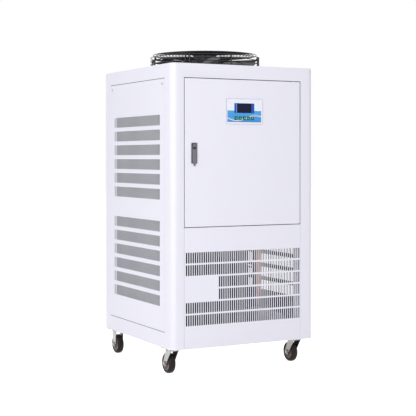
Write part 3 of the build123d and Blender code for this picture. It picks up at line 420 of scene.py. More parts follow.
def grain_group() -> bpy.types.NodeTree:
    """The shared surface grain: cloudy tone, fine height and uneven gloss.

    Returns:
        The group's tree.
    """
    found = bpy.data.node_groups.get("SurfaceGrain")
    if found is not None:
        return found
    sockets = (
        ("Place", "NodeSocketVector", "INPUT"),
        ("Colour", "NodeSocketColor", "INPUT"),
        ("Shade", "NodeSocketColor", "INPUT"),
        ("Cloud Scale", "NodeSocketFloat", "INPUT"),
        ("Mottle", "NodeSocketFloat", "INPUT"),
        ("Grain Scale", "NodeSocketFloat", "INPUT"),
        ("Roughness", "NodeSocketFloat", "INPUT"),
        ("Gloss Spread", "NodeSocketFloat", "INPUT"),
        ("Colour", "NodeSocketColor", "OUTPUT"),
        ("Roughness", "NodeSocketFloat", "OUTPUT"),
        ("Height", "NodeSocketFloat", "OUTPUT"),
    )
    bench, start, end = start_group("SurfaceGrain", sockets)
    cloud = bench.noise(start.outputs["Place"], start.outputs["Cloud Scale"], detail=4.0)
    fine = bench.noise(start.outputs["Place"], start.outputs["Grain Scale"], detail=2.0)
    tone = bench.maths("MULTIPLY", cloud, start.outputs["Mottle"])
    bench.feed(end.inputs["Colour"], bench.blend(tone, start.outputs["Colour"], start.outputs["Shade"]))
    centred = bench.maths("SUBTRACT", cloud, 0.5)
    spread = bench.maths("MULTIPLY_ADD", centred, start.outputs["Gloss Spread"], start.outputs["Roughness"])
    bench.feed(end.inputs["Roughness"], spread)
    bench.feed(end.inputs["Height"], fine)
    return bench.tree


def dust_group() -> bpy.types.NodeTree:
    """The shared settled dust: a mask on faces that look up, broken by noise.

    Returns:
        The group's tree.
    """
    found = bpy.data.node_groups.get("SettledDust")
    if found is not None:
        return found
    sockets = (
        ("Place", "NodeSocketVector", "INPUT"),
        ("Amount", "NodeSocketFloat", "INPUT"),
        ("Mask", "NodeSocketFloat", "OUTPUT"),
    )
    bench, start, end = start_group("SettledDust", sockets)
    facing = bench.add("ShaderNodeNewGeometry")
    upward = bench.maths("MAXIMUM", bench.split(facing.outputs["Normal"])[2], 0.0)
    broken = bench.noise(start.outputs["Place"], scale=38.0, detail=5.0, rough=0.55)
    mask = bench.maths("MULTIPLY", upward, broken)
    bench.feed(end.inputs["Mask"], bench.maths("MULTIPLY", mask, start.outputs["Amount"]))
    return bench.tree


@dataclass(frozen=True)
class Finish:
    """One surface finish, dressed with grain, tone and settled dust."""

    name: str
    colour: Colour
    shade: Colour
    rough: float
    metallic: float = 0.0
    cloud_scale: float = 9.0
    mottle: float = 0.25
    grain_scale: float = 900.0
    grain_depth: float = 0.00004
    gloss_spread: float = 0.1
    coat: float = 0.0
    coat_rough: float = 0.2
    specular: float = 0.5
    dust: float = 0.06
    drawn: Axis | None = None

    def place(self, bench: Nodes) -> bpy.types.NodeSocket:
        """The place that patterns read, drawn out along the brushing if there is one.

        Args:
            bench: The bench of the material's tree.

        Returns:
            The place's socket.
        """
        where = bench.here()
        if self.drawn is None:
            return where
        mapping = bench.add("ShaderNodeMapping")
        scale = [1.0, 1.0, 1.0]
        scale[self.drawn.value] = DRAWN_STRETCH
        mapping.inputs["Scale"].default_value = scale
        bench.feed(mapping.inputs["Vector"], where)
        return mapping.outputs["Vector"]

    def paint(self, bench: Nodes, place: object, base: bpy.types.NodeSocket) -> bpy.types.NodeSocket:
        """The finish's colour; kinds with a print on them draw it here."""
        return base

    def shape(self, bench: Nodes, height: bpy.types.NodeSocket) -> bpy.types.NodeSocket:
        """The finish's height; kinds with ribs or weave add them here."""
        return height

    def material(self) -> bpy.types.Material:
        """The finish's material, built at its first use.

        Returns:
            The material.
        """
        found = bpy.data.materials.get(self.name)
        if found is not None:
            return found
        made = bpy.data.materials.new(self.name)
        made.use_nodes = True
        made.diffuse_color = rgba(self.colour)
        tree = made.node_tree
        tree.nodes.clear()
        bench = Nodes(tree)
        place = self.place(bench)
        grain = bench.add("ShaderNodeGroup", node_tree=grain_group())
        bench.feed(grain.inputs["Place"], place)
        grain.inputs[1].default_value = rgba(self.colour)
        grain.inputs["Shade"].default_value = rgba(self.shade)
        grain.inputs["Cloud Scale"].default_value = self.cloud_scale
        grain.inputs["Mottle"].default_value = self.mottle
        grain.inputs["Grain Scale"].default_value = self.grain_scale
        grain.inputs[6].default_value = self.rough
        grain.inputs["Gloss Spread"].default_value = self.gloss_spread
        dust = bench.add("ShaderNodeGroup", node_tree=dust_group())
        bench.feed(dust.inputs["Place"], place)
        dust.inputs["Amount"].default_value = self.dust
        painted = self.paint(bench, place, grain.outputs[0])
        colour = bench.blend(dust.outputs["Mask"], painted, rgba(DUST_COLOUR))
        surface = bench.add("ShaderNodeBsdfPrincipled")
        bench.feed(surface.inputs["Base Color"], colour)
        bench.feed(surface.inputs["Roughness"], grain.outputs[1])
        surface.inputs["Metallic"].default_value = self.metallic
        surface.inputs["Specular IOR Level"].default_value = self.specular
        surface.inputs["Coat Weight"].default_value = self.coat
        surface.inputs["Coat Roughness"].default_value = self.coat_rough
        bump = bench.add("ShaderNodeBump")
        bump.inputs["Strength"].default_value = 1.0
        bump.inputs["Distance"].default_value = self.grain_depth
        bench.feed(bump.inputs["Height"], self.shape(bench, grain.outputs["Height"]))
        bench.feed(surface.inputs["Normal"], bump.outputs["Normal"])
        output = bench.add("ShaderNodeOutputMaterial")
        bench.feed(output.inputs["Surface"], surface.outputs[0])
        return made


@dataclass(frozen=True)
class RibbedFinish(Finish):
    """A finish with even ribs, as on a fin pack or a hose."""

    ribs_along: Axis = Axis.Y
    rib_pitch: float = 0.0021
    rib_height: float = 4.0
    gap_shade: float = 0.25
    gap_contrast: float = 0.45

    def wave(self, bench: Nodes) -> bpy.types.NodeSocket:
        """The ribs' wave, from -1 in a gap to 1 on a rib."""
        along = bench.split(bench.here())[self.ribs_along.value]
        return bench.maths("SINE", bench.maths("MULTIPLY", along, 2 * math.pi / self.rib_pitch))

    def shape(self, bench: Nodes, height: bpy.types.NodeSocket) -> bpy.types.NodeSocket:
        """Even ribs added to the grain."""
        return bench.maths("MULTIPLY_ADD", self.wave(bench), self.rib_height, height)

    def paint(self, bench: Nodes, place: object, base: bpy.types.NodeSocket) -> bpy.types.NodeSocket:
        """Painted shade in the gaps between the ribs.

        Args:
            bench: The bench of the material's tree.
            place: Not used.
            base: The colour under what is drawn.

        Returns:
            The colour's socket.
        """
        raised = bench.maths("MULTIPLY_ADD", self.wave(bench), self.gap_contrast, 0.5)
        # Painted shade: the colour in the gaps between the ribs.
        gap = tuple(self.gap_shade * c for c in self.colour)
        return bench.blend(raised, rgba(gap), base)


@dataclass(frozen=True)
class PanelPrint(Finish):
    """The controller's moulded face with its printed blue band and swooping lines.

    The band's four numbers are how far it stays inside the case's left, right, bottom and top.
    Each line is its height over the wave, half its width and its colour.
    """

    band: tuple[float, float, float, float] = (0.0030, 0.0065, 0.0076, 0.0439)
    band_low: Colour = (0.02, 0.24, 0.66)
    band_high: Colour = (0.04, 0.33, 0.70)
    wave_length: float = 0.16
    wave_height: float = 0.0095
    wave_middle: float = 0.0221
    lines: tuple[tuple[float, float, Colour], ...] = (
        (0.0, 0.0010, (0.86, 0.92, 0.98)),
        (0.0042, 0.0004, (0.55, 0.78, 0.95)),
        (-0.0024, 0.0007, (0.36, 0.15, 0.12)),
    )
    rim: float = 0.0016
    # Painted shade on the case's edges and sides.
    edge_shade_colour: Colour = (0.58, 0.56, 0.70)
    face_depth: float = 0.0015

    def paint(self, bench: Nodes, place: object, base: bpy.types.NodeSocket) -> bpy.types.NodeSocket:
        """White case with a sky-blue band behind the keys and lines that swing across it.

        Args:
            bench: The bench of the material's tree.
            place: The place that the pattern reads.
            base: The colour under what is drawn.

        Returns:
            The colour's socket.
        """
        across, depth, up = bench.split(place)
        low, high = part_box("controller_housing")
        left, right = low.x + self.band[0], high.x - self.band[1]
        bottom, top = low.z + self.band[2], high.z - self.band[3]
        front = bench.maths("LESS_THAN", depth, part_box("door")[0].y - self.face_depth)
        fade = bench.add("ShaderNodeMapRange")
        bench.feed(fade.inputs["Value"], up)
        bench.feed(fade.inputs["From Min"], bottom)
        bench.feed(fade.inputs["From Max"], top)
        sky = bench.blend(fade.outputs[0], rgba(self.band_low), rgba(self.band_high))
        inside = bench.maths("MULTIPLY", bench.patch(across, up, (left, right, bottom, top)), front)
        painted = bench.blend(inside, base, sky)
        along = bench.maths("SUBTRACT", across, left)
        turns = bench.maths("MULTIPLY", along, 2 * math.pi / self.wave_length)
        middle = low.z + self.wave_middle
        crest = bench.maths("MULTIPLY_ADD", bench.maths("SINE", turns), -self.wave_height, middle)
        for lift, width, colour in self.lines:
            away = bench.maths("ABSOLUTE", bench.maths("SUBTRACT", up, bench.maths("ADD", crest, lift)))
            line = bench.maths("MULTIPLY", bench.maths("LESS_THAN", away, width), inside)
            painted = bench.blend(line, painted, rgba(colour))
        # Painted shade on the case's edges and sides, outside the flat face.
        rim = self.rim
        flat = bench.patch(across, up, (low.x + rim, high.x - rim, low.z + rim, high.z - rim))
        return bench.blend(flat, rgba(self.edge_shade_colour), painted)


@dataclass(frozen=True)
class DisplayPrint(Finish):
    """The display's window: a dark screen in a blue surround.

    The screen's four numbers are how far it stays inside the window's left, right, bottom and top.
    The glow's two numbers are its line's sides, from the window's left.
    """

    screen: tuple[float, float, float, float] = (0.01185, 0.01235, 0.00185, 0.00135)
    glow: tuple[float, float] = (0.00835, 0.01035)
    surround: Colour = (0.02, 0.10, 0.42)
    glow_colour: Colour = (0.20, 0.35, 0.62)

    def paint(self, bench: Nodes, place: object, base: bpy.types.NodeSocket) -> bpy.types.NodeSocket:
        """Blue surround, dark screen and the thin pale line at its left edge.

        Args:
            bench: The bench of the material's tree.
            place: The place that the pattern reads.
            base: The colour under what is drawn.

        Returns:
            The colour's socket.
        """
        across, _, up = bench.split(place)
        low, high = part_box("controller_screen")
        left, right, bottom, top = self.screen
        level = (low.z + bottom, high.z - top)
        dark = bench.patch(across, up, (low.x + left, high.x - right, *level))
        pale = bench.patch(across, up, (low.x + self.glow[0], low.x + self.glow[1], *level))
        surround = bench.blend(pale, rgba(self.surround), rgba(self.glow_colour))
        return bench.blend(dark, surround, base)


@dataclass(frozen=True)
class InsideShadedPaint(Finish):
    """Powder coat on a panel, with painted shade on every face of its inner side."""

    # Painted shade: the colour of every face inside the cabinet, behind the outer skin.
    inside_shade: Colour = (0.14, 0.14, 0.15)
    bare: float = 0.0003
    front_skin: float = 0.0003
    rear_skin: float = 0.0003

    def inside(self, bench: Nodes, place: object) -> bpy.types.NodeSocket:
        """One behind the cabinet's bare outer skin, else zero.

        Args:
            bench: The bench of the material's tree.
            place: The place that the pattern reads.

        Returns:
            The mask's socket.
        """
        across, depth, up = bench.split(place)
        low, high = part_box("cabinet_frame")
        deep = bench.between(depth, low.y + self.front_skin, high.y - self.rear_skin)
        wide = bench.between(across, low.x + self.bare, high.x - self.bare)
        under = bench.maths("LESS_THAN", up, high.z - self.bare)
        return bench.maths("MULTIPLY", bench.maths("MULTIPLY", deep, wide), under)

    def paint(self, bench: Nodes, place: object, base: bpy.types.NodeSocket) -> bpy.types.NodeSocket:
        """Painted shade on every face behind the skin."""
        return bench.blend(self.inside(bench, place), base, rgba(self.inside_shade))


@dataclass(frozen=True)
class GapShadedFramePaint(InsideShadedPaint):
    """Powder coat with painted shade inside, and painted shade on the side landings above and below the
    panels.

    The landing's two numbers are its inner and outer side, from the wall's outer face.
    The reveal's two are its start and end behind the door's face.
    """

    # Painted shade inside the frame, lighter than on the panels.
    inside_shade: Colour = (0.22, 0.22, 0.235)
    bare: float = 0.0008
    front_skin: float = 0.035
    rear_skin: float = 0.024
    seam: float = 0.0027
    seam_overlap: float = 0.0002
    seam_end: float = 0.0008
    landing: tuple[float, float] = (0.0050, 0.0007)
    # The colour of the painted shade in the seams above and below the side panels and in the door's reveal.
    gap_shade_colour: Colour = (0.012, 0.012, 0.013)
    reveal: tuple[float, float] = (0.001, 0.012)
    gap: float = 0.004

    def paint(self, bench: Nodes, place: object, base: bpy.types.NodeSocket) -> bpy.types.NodeSocket:
        """Painted shade where the landing and the door's reveal show in the gaps, over the painted shade
        inside.

        Args:
            bench: The bench of the material's tree.
            place: The place that the pattern reads.
            base: The colour under what is drawn.

        Returns:
            The colour's socket.
        """
        across, depth, up = bench.split(place)
        low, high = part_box(Wall.LEFT.value)
        under = bench.between(up, low.z - self.seam, low.z + self.seam_overlap)
        over = bench.between(up, high.z - self.seam_overlap, high.z + self.seam)
        level = bench.maths("MAXIMUM", under, over)
        inner, outer = (abs(low.x) - inset for inset in self.landing)
        beside = bench.between(bench.maths("ABSOLUTE", across), inner, outer)
        along = bench.between(depth, low.y - self.seam_end, high.y + self.seam_end)
        seam = bench.maths("MULTIPLY", level, bench.maths("MULTIPLY", beside, along))
        low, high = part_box("door")
        gap = self.gap
        near = bench.patch(across, up, (low.x - gap, high.x + gap, low.z - gap, high.z + gap))
        behind = bench.patch(across, up, (low.x, high.x, low.z, high.z))
        rim = bench.maths("MAXIMUM", bench.maths("SUBTRACT", near, behind), 0.0)
        deep = bench.between(depth, low.y + self.reveal[0], low.y + self.reveal[1])
        # Painted shade in the seams and in the door's reveal.
        shaded = bench.maths("MAXIMUM", seam, bench.maths("MULTIPLY", rim, deep))
        return bench.blend(shaded, super().paint(bench, place, base), rgba(self.gap_shade_colour))


@dataclass(frozen=True)
class EdgedPaint(Finish):
    """Powder coat on the door, shaded inside its narrow gaps."""

    skin: float = 0.0012
    edge: float = 0.0004
    shadow: Colour = (0.08, 0.08, 0.09)

    def paint(self, bench: Nodes, place: object, base: bpy.types.NodeSocket) -> bpy.types.NodeSocket:
        """Painted shade on the folds that face the gaps, behind the door's outer skin.

        Args:
            bench: The bench of the material's tree.
            place: The place that the pattern reads.
            base: The colour under what is drawn.

        Returns:
            The colour's socket.
        """
        across, depth, up = bench.split(place)
        low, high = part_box("door")
        edge = self.edge
        face = bench.patch(across, up, (low.x + edge, high.x - edge, low.z + edge, high.z - edge))
        deep = bench.maths("GREATER_THAN", depth, low.y + self.skin)
        fold = bench.maths("MULTIPLY", bench.maths("SUBTRACT", 1.0, face), deep)
        return bench.blend(fold, base, rgba(self.shadow))


@dataclass(frozen=True)
class KeyPrint(Finish):
    """A green push key with a pale pointer on it."""

    middle_x: float = 0.0
    middle_z: float = 0.0
    half_sign: float = 0.0021
    stem: float = 0.0006
    taper: float = 0.9
    sign: Colour = (0.55, 0.80, 0.55)

    def paint(self, bench: Nodes, place: object, base: bpy.types.NodeSocket) -> bpy.types.NodeSocket:
        """A small pale wedge on a short stem.

        Args:
            bench: The bench of the material's tree.
            place: The place that the pattern reads.
            base: The colour under what is drawn.

        Returns:
            The colour's socket.
        """
        x, _, z = bench.split(place)
        across = bench.maths("ABSOLUTE", bench.maths("SUBTRACT", x, self.middle_x))
        up = bench.maths("SUBTRACT", z, self.middle_z)
        slope = bench.maths("MULTIPLY_ADD", up, -self.taper, self.half_sign)
        point = bench.maths("LESS_THAN", across, slope)
        wedge = bench.maths("MULTIPLY", point, bench.between(up, 0.0, self.half_sign))
        stem = bench.patch(across, up, (-1.0, self.stem, -self.half_sign, 0.0))
        return bench.blend(bench.maths("MAXIMUM", wedge, stem), base, rgba(self.sign))


POWDER_COAT = {
    "colour": (0.80, 0.79, 0.87),
    "shade": (0.76, 0.75, 0.83),
    "rough": 0.42,
    "mottle": 0.18,
    "grain_scale": 1400.0,
    "grain_depth": 0.000025,
    "coat": 0.15,
    "coat_rough": 0.35,
    "dust": 0.02,
}
POWDER_WHITE = Finish("powder_white", **POWDER_COAT)
FRAME_WHITE = GapShadedFramePaint("frame_white", **POWDER_COAT)
PANEL_WHITE = InsideShadedPaint("panel_white", **POWDER_COAT)
DOOR_WHITE = EdgedPaint("door_white", **POWDER_COAT)
CASTOR_ZINC = Finish(
    "castor_zinc", (0.46, 0.46, 0.46), (0.20, 0.20, 0.205), 0.30, 0.95, cloud_scale=70.0, mottle=0.8
)
GALVANISED = Finish(
    "galvanised", (0.56, 0.57, 0.58), (0.40, 0.41, 0.42), 0.42, 0.85, cloud_scale=60.0, mottle=0.6
)
SATIN_ZINC = Finish(
    "satin_zinc", (0.15, 0.148, 0.17), (0.11, 0.11, 0.125), 0.42, 0.6, grain_depth=0.00002, dust=0.02
)
BRIGHT_ZINC = Finish(
    "bright_zinc", (0.62, 0.62, 0.62), (0.44, 0.45, 0.47), 0.28, 0.95, cloud_scale=45.0, mottle=0.5
)
STRAW_ZINC = Finish(
    "straw_zinc", (0.62, 0.54, 0.40), (0.50, 0.46, 0.44), 0.34, 0.75, cloud_scale=40.0, mottle=0.6
)
DIPPED_BLACK = Finish(
    "dipped_black",
    (0.010, 0.010, 0.012),
    (0.020, 0.020, 0.023),
    0.30,
    specular=0.35,
    grain_scale=500.0,
    dust=0.02,
)
FAN_BLACK = Finish("fan_black", (0.014, 0.014, 0.016), (0.028, 0.028, 0.031), 0.45, specular=0.3, dust=0.05)
SOFT_RUBBER = Finish("soft_rubber", (0.022, 0.021, 0.021), (0.04, 0.038, 0.036), 0.68, grain_scale=1800.0)
TYRE_RUBBER = Finish(
    "tyre_rubber",
    (0.006, 0.0045, 0.0045),
    (0.015, 0.011, 0.011),
    0.5,
    cloud_scale=30.0,
    mottle=0.5,
    grain_scale=1500.0,
    grain_depth=0.00006,
    specular=0.22,
    dust=0.04,
)
HUB_BROWN = Finish("hub_brown", (0.17, 0.115, 0.11), (0.11, 0.075, 0.075), 0.4, specular=0.4, dust=0.05)
CASE_WHITE = PanelPrint(
    "case_white", (0.82, 0.83, 0.90), (0.78, 0.79, 0.87), 0.28, coat=0.3, dust=0.0, mottle=0.1
)
DISPLAY = DisplayPrint(
    "display",
    (0.006, 0.007, 0.030),
    (0.010, 0.012, 0.045),
    0.16,
    specular=0.12,
    mottle=0.6,
    cloud_scale=40.0,
    grain_depth=0.000002,
    dust=0.0,
)
FINNED = RibbedFinish(
    "finned_aluminium", (0.07, 0.07, 0.074), (0.05, 0.05, 0.054), 0.6, mottle=0.5, specular=0.15
)
COPPER = Finish("copper", (0.60, 0.30, 0.20), (0.36, 0.17, 0.12), 0.33, 0.95, cloud_scale=30.0, mottle=0.6)
BRASS = Finish("brass", (0.62, 0.47, 0.22), (0.45, 0.33, 0.15), 0.3, 0.95, cloud_scale=35.0, mottle=0.4)
SHELL_BLACK = Finish("shell_black", (0.014, 0.014, 0.014), (0.03, 0.03, 0.03), 0.35, coat=0.4, dust=0.25)
TANK_GREY = Finish(
    "tank_grey", (0.035, 0.035, 0.038), (0.022, 0.022, 0.025), 0.6, mottle=0.5, specular=0.05, drawn=Axis.Z
)
PUMP_GREY = Finish("pump_grey", (0.62, 0.62, 0.64), (0.52, 0.52, 0.55), 0.42, dust=0.15)
NYLON = Finish("nylon", (0.02, 0.02, 0.022), (0.035, 0.035, 0.037), 0.5, grain_scale=700.0)
MOULDED_GREY = Finish("moulded_grey", (0.40, 0.40, 0.38), (0.34, 0.34, 0.33), 0.5)
LEVER_RED = Finish("lever_red", (0.38, 0.02, 0.015), (0.28, 0.015, 0.012), 0.35, coat=0.4)

NODE_FINISHES: dict[str, Finish] = {
    "cabinet_frame": FRAME_WHITE,
    "base_pan": STRAW_ZINC,
    "front_grille_panel": PANEL_WHITE,
    "side_panel": PANEL_WHITE,
    "rear_panel": PANEL_WHITE,
    "door_gasket": SOFT_RUBBER,
    "door": DOOR_WHITE,
    "fan_ring": POWDER_WHITE,
    "fan_guard": DIPPED_BLACK,
    "fan_motor": FAN_BLACK,
    "fan_rotor": FAN_BLACK,
    "hinge_leaves": BRIGHT_ZINC,
    "controller_housing": CASE_WHITE,
    "controller_screen": DISPLAY,
    "latch": SATIN_ZINC,
    "castor_tyre": TYRE_RUBBER,
    "castor_hub": HUB_BROWN,
    "castor_plate": STRAW_ZINC,
    "castor": CASTOR_ZINC,
    "case_screws": BRIGHT_ZINC,
    "condenser": FINNED,
    "compressor_feet": SOFT_RUBBER,
    "compressor": SHELL_BLACK,
    "water_tank": TANK_GREY,
    "filler_cap": NYLON,
    "water_pump": PUMP_GREY,
    "water_hoses": SOFT_RUBBER,
    "water_ports": BRASS,
    "drain_valve": BRASS,
    "drain_handle": LEVER_RED,
    "cable_gland": NYLON,
    "electrical_box": GALVANISED,
    "control_gear": MOULDED_GREY,
    "discharge_pipe": COPPER,
    "liquid_line": COPPER,
    "suction_pipe": COPPER,
}


def finish_of(node: str) -> Finish:
    """The finish of a node: the longest entry that its name starts with.

    Args:
        node: The node's name.

    Returns:
        Its finish.
    """
    if node.startswith("controller_key"):
        low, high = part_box(node)
        return KeyPrint(
            f"key_green_{node[-1]}",
            (0.005, 0.14, 0.05),
            (0.004, 0.11, 0.04),
            0.35,
            specular=0.2,
            dust=0.0,
            middle_x=(low.x + high.x) / 2,
            middle_z=(low.z + high.z) / 2,
        )
    entries = [name for name in NODE_FINISHES if node.startswith(name)]
    return NODE_FINISHES[max(entries, key=len)]


def body_of(node: str) -> str:
    """The body that a node belongs to.

    Args:
        node: The node's name.

    Returns:
        The body's name, or the cabinet's for a node on no other body.
    """
    for body, nodes in frame["record"]["behaviour"]["bodies"].items():
        if node in nodes:
            return body
    return CABINET


def dress(piece: bpy.types.Object, finish: Finish) -> None:
    """Give a piece one finish all over.

    Args:
        piece: The object.
        finish: The finish it gets.
    """
    if not piece.data.materials:
        piece.data.materials.append(None)
    for place in piece.material_slots:
        place.link = "OBJECT"
        place.material = finish.material()


def stand_for(piece: bpy.types.Object, node: str) -> None:
    """Let a finished piece take a node's place, on its body.

    Args:
        piece: The finished object.
        node: The node that it takes the place of.
    """
    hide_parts(node)
    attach(piece, body_of(node))
    log.info("%s: %d faces", piece.name, len(piece.data.polygons))


@dataclass
class SmoothedNode:
    """A merged copy of a curved CAD node, shaded smooth with its flats kept flat."""

    node: str
    angle: float = 35.0

    def build(self) -> bpy.types.Object:
        """Copy, merge and shade the node.

        Returns:
            The copy.
        """
        choose(frame["nodes"][self.node])
        bpy.ops.object.duplicate(linked=False)
        piece = added(f"{self.node}_finished")
        choose(piece)
        bpy.ops.object.parent_clear(type="CLEAR_KEEP_TRANSFORM")
        for key in [k for k in piece.keys() if k.startswith("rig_")]:
            del piece[key]
        settle(piece)
        with shaping(piece):
            bpy.ops.mesh.select_all(action="SELECT")
            bpy.ops.mesh.remove_doubles(threshold=1e-6)
        smooth(piece, self.angle)
        dress(piece, finish_of(self.node))
        stand_for(piece, self.node)
        return piece


@dataclass
class SlottedPanel:
    """A flat sheet with banks of fine upright slots.

    The rows named in bare_rows leave out their first bare_columns slots. Rows count up from the bottom.
    """

    wall: Wall
    slot_width: float = 0.0060
    slot_height: float = 0.039
    slot_pitch: float = 0.00897
    row_pitch: float = 0.0543
    columns: int = 47
    rows: int = 6
    corner: float = 0.0009
    sheet: float = 0.0015
    first_slot: float = 0.101
    bank_bottoms: tuple[float, ...] = (0.2475, 0.636)
    bare_rows: tuple[int, ...] = ()
    bare_columns: int = 0

    def turn(self) -> Matrix:
        """The turn that stands the flat sheet up on its wall.

        Returns:
            The turn.
        """
        if self.wall is Wall.FRONT:
            return Matrix(((1, 0, 0, 0), (0, 0, -1, 0), (0, 1, 0, 0), (0, 0, 0, 1)))
        if self.wall is Wall.REAR:
            return Matrix(((-1, 0, 0, 0), (0, 0, 1, 0), (0, 1, 0, 0), (0, 0, 0, 1)))
        return Matrix(((0, 0, 1, 0), (1, 0, 0, 0), (0, 1, 0, 0), (0, 0, 0, 1)))

    def limits(self) -> tuple[float, float, float, float, float]:
        """How far the flat sheet goes, and how far out its outer face lies.

        Returns:
            Left, right, bottom, top and depth.
        """
        low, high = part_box(self.wall.value)
        if self.wall is Wall.FRONT:
            return low.x, high.x, low.z, high.z, -low.y
        if self.wall is Wall.REAR:
            return -high.x, -low.x, low.z, high.z, high.y
        return low.y, high.y, low.z, high.z, high.x

    def starts(self) -> tuple[float, tuple[float, ...]]:
        """Where the first column starts, and the banks' bottoms.

        Returns:
            The first column's start and the bottoms.
        """
        if self.wall is Wall.REAR:
            return -(self.columns * self.slot_pitch) / 2, self.bank_bottoms[1:]
        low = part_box("cabinet_frame")[0]
        start = low.x if self.wall is Wall.FRONT else low.y
        return start + self.first_slot - (self.slot_pitch - self.slot_width) / 2, self.bank_bottoms

    def cut_lines(self, first: float, bottoms: Sequence[float], margin: float) -> list[tuple[Point, Point]]:
        """Every straight cut through the sheet, as a point and a direction across it.

        Args:
            first: Where the first column starts.
            bottoms: The heights at which the banks start.
            margin: Half the metal between two slots.

        Returns:
            The cuts.
        """
        cuts = [((first + i * self.slot_pitch, 0.0, 0.0), (1.0, 0.0, 0.0)) for i in range(self.columns + 1)]
        for bottom in bottoms:
            for row in range(self.rows):
                low = bottom + row * self.row_pitch - margin
                cuts.append(((0.0, low, 0.0), (0.0, 1.0, 0.0)))
                cuts.append(((0.0, low + self.slot_height + 2 * margin, 0.0), (0.0, 1.0, 0.0)))
        return cuts

    def build(self) -> bpy.types.Object:
        """Cut the sheet into cells, punch a slot in each and give it its thickness.

        Returns:
            The panel.
        """
        left, right, bottom, top, depth = self.limits()
        first, bottoms = self.starts()
        margin = (self.slot_pitch - self.slot_width) / 2
        clear_selection()
        bpy.ops.mesh.primitive_plane_add(size=1.0, location=((left + right) / 2, (bottom + top) / 2, 0.0))
        piece = added(f"{self.wall.value}_slotted")
        piece.scale = (right - left, top - bottom, 1.0)
        settle(piece)
        last = first + self.columns * self.slot_pitch
        with shaping(piece):
            for point, across in self.cut_lines(first, bottoms, margin):
                bpy.ops.mesh.select_all(action="SELECT")
                bpy.ops.mesh.bisect(plane_co=point, plane_no=across)

            def in_cell(middle: Vector, _: Vector) -> bool:
                """Whether a face's middle lies where a slot goes.

                Args:
                    middle: The face's middle on the flat sheet.
                    _: The face's normal, which isn't needed.

                Returns:
                    Whether the face is punched.
                """
                if not first < middle.x < last:
                    return False
                bare = first + self.bare_columns * self.slot_pitch
                return any(
                    0 < middle.y - bank - row * self.row_pitch < self.slot_height
                    and not (row in self.bare_rows and middle.x < bare)
                    for bank in bottoms
                    for row in range(self.rows)
                )

            count = pick_faces(piece, in_cell)
            bpy.ops.mesh.inset(thickness=margin, use_individual=True, use_even_offset=True)
            bpy.ops.mesh.bevel(offset=self.corner, affect="VERTICES", segments=2)
            centres = [
                (first + (column + 0.5) * self.slot_pitch, bank + row * self.row_pitch + self.slot_height / 2)
                for bank in bottoms
                for row in range(self.rows)
                for column in range(self.bare_columns if row in self.bare_rows else 0, self.columns)
            ]
            known = {(round(x, 4), round(y, 4)) for x, y in centres}
            pick_faces(piece, lambda middle, _: (round(middle.x, 4), round(middle.y, 4)) in known)
            bpy.ops.mesh.delete(type="FACE")
        log.info("%s: %d slots", piece.name, count)
        apply_modifier(piece, "SOLIDIFY", thickness=self.sheet, offset=-1.0)
        piece.data.transform(Matrix.Translation((0.0, 0.0, depth)))
        piece.data.transform(self.turn())
        tidy_surface(piece)
        dress(piece, finish_of(self.wall.value))
        stand_for(piece, self.wall.value)
        return piece


FRONT_PANEL = SlottedPanel(
    Wall.FRONT,
    slot_width=0.0057,
    slot_height=0.0388,
    row_pitch=0.0452,
    columns=54,
    first_slot=0.0567,
    bank_bottoms=(0.1825,),
    bare_rows=(2, 3),
    bare_columns=15,
)


